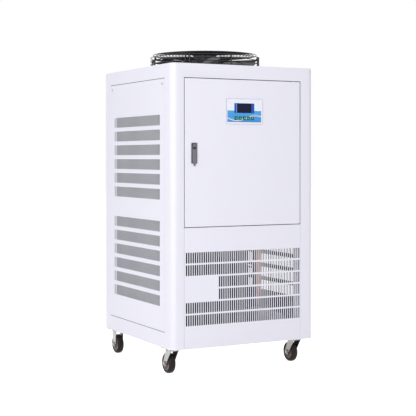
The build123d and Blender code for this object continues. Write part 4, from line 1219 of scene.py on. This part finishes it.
@dataclass
class WireGuard:
    """The round-wire basket over the fan."""

    wire: float = 0.0025
    ring_wire: float = 0.0016
    weld: float = 0.0004
    shoulder: float = 0.014
    hub: float = 0.052
    tuck: float = 0.004
    dish_rim: float = 0.006
    dish_slope: float = 0.003
    dish_depth: float = 0.0018
    pitch: float = 0.0125
    side_rings: int = 4
    leg_spread: float = 0.017
    leg_sunk: float = 0.001
    foot: tuple[float, float, float] = (0.026, 0.034, 0.003)
    segments: int = 112
    parts: list[bpy.types.Object] = field(default_factory=list)

    def __post_init__(self) -> None:
        """Find the deck, the fan's middle and the basket's size from the frame."""
        low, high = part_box("fan_guard")
        self.deck = low.z
        self.radius = (high.x - low.x) / 2
        self.middle = Vector(((low.x + high.x) / 2, (low.y + high.y) / 2, 0.0))
        self.high = high.z - self.wire

    def spoke(self, base: float) -> bpy.types.Object:
        """One wire up from a height, over the shoulder and in to the hub plate.

        Args:
            base: The height at which the wire starts.

        Returns:
            The wire, along +X from the middle.
        """
        reach = self.radius - self.wire
        bend = self.high - self.shoulder
        clear_selection()
        bpy.ops.mesh.primitive_circle_add(
            vertices=10, radius=self.wire, fill_type="NGON", location=(reach, 0, base)
        )
        piece = added("guard_wire")
        settle(piece)
        with shaping(piece):
            bpy.ops.mesh.select_all(action="SELECT")
            bpy.ops.mesh.extrude_region_move(TRANSFORM_OT_translate={"value": (0, 0, bend - base)})
            bpy.ops.mesh.spin(
                steps=7, angle=math.radians(90), center=(reach - self.shoulder, 0, bend), axis=(0, -1, 0)
            )
            inwards = -(reach - self.shoulder - self.hub + self.tuck)
            bpy.ops.mesh.extrude_region_move(TRANSFORM_OT_translate={"value": (inwards, 0, 0)})
        tidy_surface(piece)
        return piece

    def ring(self, radius: float, height: float, wire: float) -> bpy.types.Object:
        """One ring wire.

        Args:
            radius: The ring's radius to the middle of its wire.
            height: The height of the wire's middle.
            wire: The wire's radius.

        Returns:
            The ring, round the origin's axis.
        """
        clear_selection()
        bpy.ops.mesh.primitive_torus_add(
            location=(0, 0, height),
            major_radius=radius,
            minor_radius=wire,
            major_segments=self.segments,
            minor_segments=8,
        )
        piece = added("guard_ring")
        settle(piece)
        return piece

    def hub_plate(self) -> bpy.types.Object:
        """The dished plate that gathers the spokes, with its raised rim.

        Returns:
            The plate, round the origin's axis.
        """
        clear_selection()
        bpy.ops.mesh.primitive_cylinder_add(
            vertices=64, radius=self.hub, depth=2 * self.wire, location=(0, 0, self.high)
        )
        piece = added("guard_hub")
        settle(piece)
        with shaping(piece):
            pick_faces(piece, lambda middle, normal: normal.z > FACING)
            bpy.ops.mesh.inset(thickness=self.dish_rim)
            bpy.ops.mesh.inset(thickness=self.dish_slope)
            bpy.ops.transform.translate(value=(0, 0, -self.dish_depth))
        soften(piece, 0.0008, 2, 40)
        return piece

    def foot_plate(self) -> bpy.types.Object:
        """One rounded foot plate under a double leg.

        Returns:
            The plate, along +X from the middle.
        """
        length, width, thick = self.foot
        reach = self.radius - self.wire
        clear_selection()
        bpy.ops.mesh.primitive_cube_add(size=1.0, location=(reach + length / 2, 0, self.deck + thick / 2))
        piece = added("guard_foot")
        piece.scale = (length + 2 * self.wire, width, thick)
        settle(piece)
        soften(piece, 0.0009, 3, 60)
        return piece

    def build(self) -> bpy.types.Object:
        """Make every wire once, copy it round and join the basket.

        Returns:
            The guard.
        """
        thick = self.foot[2]
        leg = self.spoke(self.deck + thick - self.leg_sunk)
        single = self.spoke(self.deck + self.pitch - self.wire)
        foot = self.foot_plate()
        for quarter in range(4):
            straight = Matrix.Rotation(math.radians(90 * quarter), 4, "Z")
            corner = Matrix.Rotation(math.radians(45 + 90 * quarter), 4, "Z")
            self.parts.append(twin(single, straight))
            self.parts.append(twin(foot, corner))
            for side in (-0.5, 0.5):
                shifted = corner @ Matrix.Translation((0, side * self.leg_spread, 0))
                self.parts.append(twin(leg, shifted))
        offset = self.wire + self.ring_wire - self.weld
        inner = self.radius - self.wire - offset
        for step in range(1, self.side_rings + 1):
            self.parts.append(self.ring(inner, self.deck + self.pitch * step, self.ring_wire))
        radius = self.radius - self.wire - self.shoulder
        while radius > self.hub + self.pitch / 2:
            self.parts.append(self.ring(radius, self.high - offset, self.ring_wire))
            radius -= self.pitch
        self.parts.append(self.hub_plate())
        remove(leg, single, foot)
        piece = joined("fan_guard_basket", self.parts)
        piece.data.transform(Matrix.Translation(self.middle))
        smooth(piece, 40.0)
        dress(piece, DIPPED_BLACK)
        stand_for(piece, "fan_guard")
        return piece


@dataclass
class CaseScrews:
    """Pan-head screws with cross recesses, all alike.

    The insets are from a panel's edges, and a guard foot's screw lies foot_reach outside the guard's rim.
    """

    head_radius: float = 0.0055
    head_height: float = 0.0026
    shank_radius: float = 0.003
    shank_length: float = 0.008
    recess: float = 0.0011
    side_inset: float = 0.0192
    level_inset: float = 0.0178
    foot_reach: float = 0.0155
    foot_thick: float = 0.003
    first_turn: float = 23.0
    turn_step: float = 37.0

    def places(self) -> list[tuple[Vector, Vector]]:
        """Each screw as a point on the sheet and its outward direction, read from the frame's boxes.

        Returns:
            The points and directions.
        """
        inset, level = self.side_inset, self.level_inset
        found = []
        low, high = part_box(Wall.LEFT.value)
        for y in (low.y + inset, high.y - inset):
            found.append((Vector((low.x, y, high.z - level)), Vector((-1, 0, 0))))
            found.append((Vector((-low.x, y, high.z - level)), Vector((1, 0, 0))))
        low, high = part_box(Wall.REAR.value)
        for x in (low.x + inset, high.x - inset):
            for z in (low.z + level, high.z - level):
                found.append((Vector((x, high.y, z)), Vector((0, 1, 0))))
        low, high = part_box("fan_guard")
        middle = (low.y + high.y) / 2
        reach = ((high.x - low.x) / 2 + self.foot_reach) * math.sqrt(0.5)
        for x in (-reach, reach):
            for y in (middle - reach, middle + reach):
                found.append((Vector((x, y, low.z + self.foot_thick)), Vector((0, 0, 1))))
        return found

    def pattern(self) -> bpy.types.Object:
        """One screw standing on the origin, its head upwards.

        Returns:
            The screw.
        """
        clear_selection()
        bpy.ops.mesh.primitive_cylinder_add(
            vertices=28,
            radius=self.head_radius,
            depth=self.head_height,
            location=(0, 0, self.head_height / 2),
        )
        head = added("screw_head")
        settle(head)
        with shaping(head):
            pick_faces(head, lambda middle, normal: normal.z > FACING)
            bpy.ops.mesh.bevel(offset=self.head_height * 0.55, segments=4, profile=0.6)
            pick_faces(head, lambda middle, normal: normal.z < -FACING)
            bpy.ops.mesh.inset(thickness=self.head_radius - self.shank_radius)
            bpy.ops.mesh.extrude_region_move(TRANSFORM_OT_translate={"value": (0, 0, -self.shank_length)})
        tidy_surface(head)
        for turn in (0.0, 90.0):
            clear_selection()
            bpy.ops.mesh.primitive_cube_add(size=1.0, location=(0, 0, self.head_height))
            bit = added("screw_bit")
            bit.scale = (self.head_radius * 1.15, self.recess, self.head_height * 1.1)
            bit.rotation_euler = (0, 0, math.radians(turn))
            settle(bit)
            apply_modifier(head, "BOOLEAN", object=bit, operation="DIFFERENCE", solver="EXACT")
            remove(bit)
        return head

    def build(self) -> bpy.types.Object:
        """Copy the screw to every place.

        Returns:
            All the screws as one object.
        """
        pattern = self.pattern()
        copies = []
        for index, (point, outward) in enumerate(self.places()):
            turn = Vector((0, 0, 1)).rotation_difference(outward).to_matrix().to_4x4()
            twist = Matrix.Rotation(math.radians(self.first_turn + self.turn_step * index), 4, "Z")
            copies.append(twin(pattern, Matrix.Translation(point) @ turn @ twist))
        remove(pattern)
        piece = joined("case_screws_crossed", copies)
        smooth(piece, 30.0)
        dress(piece, BRIGHT_ZINC)
        stand_for(piece, "case_screws")
        return piece


@dataclass
class Wheel:
    """One castor wheel: a spun rubber tread on a moulded hub with ribs."""

    corner: str
    radius: float = 0.0374
    half_width: float = 0.0124
    hub_radius: float = 0.025
    bore: float = 0.00415
    ribs: int = 6
    rib_middle: float = 0.0155
    rib_inset: float = 0.0033
    rib_thick: float = 0.0016
    rib_length: float = 0.0125
    rib_edge: float = 0.0005
    boss_proud: float = 0.0011
    fit: float = 0.0001

    def __post_init__(self) -> None:
        """Find the wheel's middle from the frame."""
        low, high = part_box(f"castor_tyre_{self.corner}")
        self.middle = (low + high) / 2

    def spun(self, name: str, outline: Sequence[tuple[float, float]], steps: int) -> bpy.types.Object:
        """Spin a closed outline about the axle.

        Args:
            name: The piece's name.
            outline: Points as distance along the axle and distance from it.
            steps: How many facets go round.

        Returns:
            The ring, with its axle along X through the origin.
        """
        clear_selection()
        bpy.ops.mesh.primitive_circle_add(vertices=len(outline), radius=self.radius, fill_type="NOTHING")
        piece = added(name)
        for vertex, (along, out) in zip(piece.data.vertices, outline):
            vertex.co = (along, 0.0, out)
        with shaping(piece, "VERT"):
            bpy.ops.mesh.select_all(action="SELECT")
            bpy.ops.mesh.spin(steps=steps, angle=2 * math.pi, center=(0, 0, 0), axis=(1, 0, 0))
        tidy_surface(piece, 1e-5)
        return piece

    def tread(self) -> bpy.types.Object:
        """The rubber tread, with a moulded line near each shoulder.

        Returns:
            The tread.
        """
        half, inner, outer = self.half_width, self.hub_radius + self.fit, self.radius
        side = [
            (-half + 0.0010, inner),
            (-half, inner + 0.0030),
            (-half, inner + 0.0052),
            (-half + 0.0005, inner + 0.0057),
            (-half + 0.0005, inner + 0.0064),
            (-half, inner + 0.0069),
            (-half + 0.0012, outer - 0.0034),
            (-half + 0.0036, outer - 0.0012),
            (-half + 0.0070, outer - 0.0003),
            (0.0, outer),
        ]
        outline = side + [(-along, out) for along, out in reversed(side[:-1])]
        piece = self.spun(f"wheel_tread_{self.corner}", outline, 72)
        smooth(piece, 50.0)
        return piece

    def hub(self) -> bpy.types.Object:
        """The dished hub with its boss, rim and stiffening ribs.

        Returns:
            The hub.
        """
        half = self.half_width
        boss = half + self.boss_proud
        side = [
            (-boss, self.bore),
            (-boss, 0.0082),
            (-boss + 0.0006, 0.0090),
            (-half + 0.0050, 0.0100),
            (-half + 0.0054, 0.0110),
            (-half + 0.0044, self.hub_radius - 0.0050),
            (-half + 0.0030, self.hub_radius - 0.0040),
            (-half + 0.0012, self.hub_radius - 0.0032),
            (-half + 0.0010, self.hub_radius),
        ]
        outline = side + [(-along, out) for along, out in reversed(side)]
        parts = [self.spun(f"wheel_hub_{self.corner}", outline, 64)]
        clear_selection()
        bpy.ops.mesh.primitive_cube_add(size=1.0, location=(0, 0, self.rib_middle))
        rib = added("hub_rib")
        rib.scale = (2 * (half - self.rib_inset), self.rib_thick, self.rib_length)
        settle(rib)
        apply_modifier(rib, "BEVEL", width=self.rib_edge, segments=2)
        for index in range(self.ribs):
            parts.append(twin(rib, Matrix.Rotation(2 * math.pi * index / self.ribs, 4, "X")))
        remove(rib)
        piece = joined(f"wheel_hub_{self.corner}", parts)
        smooth(piece, 40.0)
        return piece

    def build(self) -> None:
        """Make the tread and the hub and set them on the axle."""
        pieces = {f"castor_tyre_{self.corner}": self.tread(), f"castor_hub_{self.corner}": self.hub()}
        for node, piece in pieces.items():
            piece.data.transform(Matrix.Translation(self.middle))
            dress(piece, finish_of(node))
            stand_for(piece, node)


@dataclass
class CoilBends:
    """The copper return bends that stand out of a coil's tube sheets."""

    node: str
    tube: float = 0.0048
    pitch: float = 0.025
    reach: float = 0.010
    inset: float = 0.020
    tube_sheet: float = 0.0138

    def bend(self) -> bpy.types.Object:
        """One half-round bend between two tubes, pointing along +Y from the origin.

        Returns:
            The bend.
        """
        clear_selection()
        bpy.ops.mesh.primitive_circle_add(
            vertices=10,
            radius=self.tube,
            fill_type="NGON",
            location=(0, 0, -self.pitch / 2),
            rotation=(math.radians(90), 0, 0),
        )
        piece = added("coil_bend")
        settle(piece)
        straight = self.reach
        with shaping(piece):
            bpy.ops.mesh.select_all(action="SELECT")
            bpy.ops.mesh.extrude_region_move(TRANSFORM_OT_translate={"value": (0, straight, 0)})
            bpy.ops.mesh.spin(steps=8, angle=math.pi, center=(0, straight, 0), axis=(-1, 0, 0))
            bpy.ops.mesh.extrude_region_move(TRANSFORM_OT_translate={"value": (0, -straight, 0)})
        tidy_surface(piece)
        return piece

    def build(self) -> bpy.types.Object:
        """Copy the bend up both ends of the coil.

        Returns:
            All the coil's bends as one object.
        """
        low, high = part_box(self.node)
        middle_x = (low.x + high.x) / 2
        pattern = self.bend()
        turned = Matrix.Rotation(math.pi, 4, "Z")
        copies = []
        count = int((high.z - low.z - 2 * self.inset) / (2 * self.pitch))
        for index in range(count):
            z = low.z + self.inset + self.pitch * (2 * index + 1)
            front = Matrix.Translation((middle_x, low.y + self.tube_sheet, z)) @ turned
            shifted = z - self.pitch if index else z
            back = Matrix.Translation((middle_x, high.y - self.tube_sheet, shifted))
            copies.append(twin(pattern, front))
            copies.append(twin(pattern, back))
        remove(pattern)
        piece = joined(f"{self.node}_bends", copies)
        smooth(piece, 45.0)
        dress(piece, COPPER)
        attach(piece, CABINET)
        log.info("%s: %d bends", piece.name, len(copies))
        return piece


@dataclass
class GearDetails:
    """Terminals and trunking inside the electrical box."""

    wall: float = 0.0016
    duct_side: float = 0.040
    duct_margin: float = 0.030
    duct_drop: float = 0.090
    duct_edge: float = 0.001
    finger_pitch: float = 0.0125
    finger_width: float = 0.008
    finger_inset: float = 0.006
    finger_proud: float = 0.0015
    finger_sunk: float = 0.0005
    finger_edge: float = 0.0004
    terminal_pitch: float = 0.0105
    terminal_inset: float = 0.004
    terminal: Point = (0.008, 0.0035, 0.030)
    terminal_depth: float = 0.0415
    terminal_edge: float = 0.0006

    def block(self, name: str, low: Point, high: Point, edge: float) -> bpy.types.Object:
        """A block between two corners with rounded edges.

        Args:
            name: The piece's name.
            low: Its left, front and lower corner.
            high: Its right, rear and upper corner.
            edge: How far its edges are rounded.

        Returns:
            The block.
        """
        clear_selection()
        middle = (Vector(low) + Vector(high)) / 2
        bpy.ops.mesh.primitive_cube_add(size=1.0, location=middle)
        piece = added(name)
        piece.scale = Vector(high) - Vector(low)
        settle(piece)
        apply_modifier(piece, "BEVEL", width=edge, segments=2)
        return piece

    def trunking(self) -> bpy.types.Object:
        """Slotted wiring duct along the box's rear wall, above the contactors.

        Returns:
            The duct.
        """
        low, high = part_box("electrical_box")
        left, right = low.x + self.duct_margin, high.x - self.duct_margin
        back = high.y - self.wall
        face = back - self.duct_side
        bottom = high.z - self.duct_drop
        top = bottom + self.duct_side
        body = self.block("duct", (left, face, bottom), (right, back, top), self.duct_edge)
        inset = self.finger_inset
        pattern = self.block(
            "duct_finger",
            (left + inset, face - self.finger_proud, bottom + inset),
            (left + inset + self.finger_width, face + self.finger_sunk, top - inset),
            self.finger_edge,
        )
        count = int((right - left - 2 * inset - self.finger_width) / self.finger_pitch)
        fingers = [twin(pattern, Matrix.Translation((self.finger_pitch * i, 0, 0))) for i in range(count)]
        remove(pattern)
        return joined("wiring_duct", [body, *fingers])

    def terminals(self) -> bpy.types.Object:
        """A row of terminal screws on the terminal strip.

        Returns:
            The row of terminals.
        """
        low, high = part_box("control_gear")
        inset = self.terminal_inset
        first = Vector((low.x + inset, low.y + self.terminal_depth, low.z + inset))
        pattern = self.block("terminal", first, first + Vector(self.terminal), self.terminal_edge)
        count = int((high.x - low.x - inset - self.terminal[0]) / self.terminal_pitch)
        copies = [twin(pattern, Matrix.Translation((self.terminal_pitch * i, 0, 0))) for i in range(count)]
        remove(pattern)
        return joined("terminal_row", copies)

    def build(self) -> None:
        """Make the pieces and dress them."""
        for piece, finish, slot in (
            (self.trunking(), MOULDED_GREY, "gear_plastic"),
            (self.terminals(), NYLON, "nylon_black"),
        ):
            smooth(piece, 30.0)
            dress(piece, finish)
            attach(piece, CABINET)
            log.info("%s: %d faces", piece.name, len(piece.data.polygons))


@dataclass(frozen=True)
class Lamp:
    """One square soft lamp, with its power in watts."""

    name: str
    place: Point
    size: float
    power: float

    def hang(self, aim: Point) -> None:
        """Hang the lamp in its place.

        Args:
            aim: The point that it faces.
        """
        clear_selection()
        bpy.ops.object.light_add(type="AREA", location=self.place)
        lamp = bpy.context.object
        lamp.name = self.name
        lamp.data.shape = "SQUARE"
        lamp.data.size = self.size
        lamp.data.energy = self.power
        lamp.rotation_euler = (Vector(aim) - Vector(self.place)).to_track_quat("-Z", "Y").to_euler()


@dataclass
class Studio:
    """Pale floor, soft light and the camera, whose angles are in degrees and lens in millimetres."""

    lens: float = 95.78
    sensor: float = 36.0
    eye: Point = (-2.0201, -3.8969, 0.7914)
    yaw: float = -27.69
    lift: float = -0.1224
    sight: float = 100.0
    sky_colour: Colour = (0.97, 0.98, 1.0)
    sky: float = 0.52
    floor_side: float = 40.0
    floor_colour: Colour = (0.90, 0.90, 0.91)
    floor_glow: float = 0.80
    aim: Point = (0.0, 0.0, 0.6)
    lamps: tuple[Lamp, ...] = (
        Lamp("left_wall", (-3.2, -0.6, 1.9), 2.4, 16.0),
        Lamp("corner", (-2.6, -2.9, 1.6), 2.0, 56.0),
        Lamp("front_wall", (0.6, -3.6, 2.1), 2.4, 14.0),
        Lamp("overhead", (0.0, 0.4, 3.4), 2.2, 30.0),
    )

    def white_for_camera(self, tree: bpy.types.NodeTree, strength: float) -> bpy.types.NodeSocket:
        """A mask that is one for rays that should meet the white background.

        Args:
            tree: The tree in which the mask is built.
            strength: What the mask is multiplied by.

        Returns:
            The mask's socket.
        """
        bench = Nodes(tree)
        path = bench.add("ShaderNodeLightPath")
        seen = bench.maths("MAXIMUM", path.outputs["Is Camera Ray"], path.outputs["Is Glossy Ray"])
        seen = bench.maths("MAXIMUM", seen, path.outputs["Is Transmission Ray"])
        return bench.maths("MULTIPLY", seen, strength)

    def world(self) -> None:
        """Soft even light from all round, white where the camera sees it."""
        world = bpy.data.worlds.new("studio")
        bpy.context.scene.world = world
        world.use_nodes = True
        tree = world.node_tree
        tree.nodes.clear()
        bench = Nodes(tree)
        soft = bench.add("ShaderNodeBackground")
        soft.inputs["Color"].default_value = rgba(self.sky_colour)
        soft.inputs["Strength"].default_value = self.sky
        white = bench.add("ShaderNodeBackground")
        white.inputs["Color"].default_value = (1.0, 1.0, 1.0, 1.0)
        white.inputs["Strength"].default_value = 1.0
        mix = bench.add("ShaderNodeMixShader")
        bench.feed(mix.inputs[0], self.white_for_camera(tree, 1.0))
        bench.feed(mix.inputs[1], soft.outputs[0])
        bench.feed(mix.inputs[2], white.outputs[0])
        output = bench.add("ShaderNodeOutputWorld")
        bench.feed(output.inputs["Surface"], mix.outputs[0])

    def floor(self) -> None:
        """A wide pale floor that keeps the object's soft shadow."""
        clear_selection()
        bpy.ops.mesh.primitive_plane_add(size=self.floor_side, location=(0, 0, 0))
        piece = added("floor")
        made = bpy.data.materials.new("floor_white")
        made.use_nodes = True
        tree = made.node_tree
        tree.nodes.clear()
        bench = Nodes(tree)
        matt = bench.add("ShaderNodeBsdfDiffuse")
        matt.inputs["Color"].default_value = rgba(self.floor_colour)
        glow = bench.add("ShaderNodeEmission")
        bench.feed(glow.inputs["Strength"], self.white_for_camera(tree, self.floor_glow))
        both = bench.add("ShaderNodeAddShader")
        bench.feed(both.inputs[0], matt.outputs[0])
        bench.feed(both.inputs[1], glow.outputs[0])
        output = bench.add("ShaderNodeOutputMaterial")
        bench.feed(output.inputs["Surface"], both.outputs[0])
        piece.data.materials.append(made)

    def camera(self) -> None:
        """The photograph's camera."""
        clear_selection()
        bpy.ops.object.camera_add(location=self.eye, rotation=(math.radians(90), 0, math.radians(self.yaw)))
        camera = bpy.context.object
        camera.data.lens = self.lens
        camera.data.sensor_width = self.sensor
        camera.data.shift_y = self.lift
        camera.data.clip_end = self.sight
        bpy.context.scene.camera = camera

    def build(self) -> None:
        """Set the whole studio."""
        bpy.context.scene.view_settings.view_transform = "Standard"
        self.world()
        self.floor()
        for lamp in self.lamps:
            lamp.hang(self.aim)
        self.camera()


CURVED_NODES = (
    "cabinet_frame",
    "door",
    "fan_ring",
    "fan_motor",
    "fan_rotor",
    "controller_housing",
    "latch_housing",
    "latch_handle",
    "latch_button",
    "compressor",
    "water_tank",
    "water_pump",
    "water_hoses",
    "water_ports",
    "drain_valve",
    "filler_cap",
    "cable_gland",
    "discharge_pipe",
    "liquid_line",
    "suction_pipe",
    "castor_plate_front_left",
    "castor_plate_front_right",
    "castor_fork_front_left",
    "castor_fork_front_right",
    "castor_forks_rear",
)


def main() -> None:
    """Dress the frame's nodes, build the new pieces and set the studio."""
    logging.basicConfig(level=logging.INFO, format="%(name)s %(message)s")
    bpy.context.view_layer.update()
    clear_selection()
    for name, node in frame["nodes"].items():
        dress(node, finish_of(name))
    for wall in (Wall.LEFT, Wall.RIGHT, Wall.REAR):
        SlottedPanel(wall).build()
    FRONT_PANEL.build()
    WireGuard().build()
    CaseScrews().build()
    for corner in ("front_left", "front_right", "rear_left", "rear_right"):
        Wheel(corner).build()
    for coil in ("condenser_left", "condenser_right"):
        CoilBends(coil).build()
    GearDetails().build()
    for name in CURVED_NODES:
        SmoothedNode(name).build()
    Studio().build()


if __name__ == "__main__":
    main()
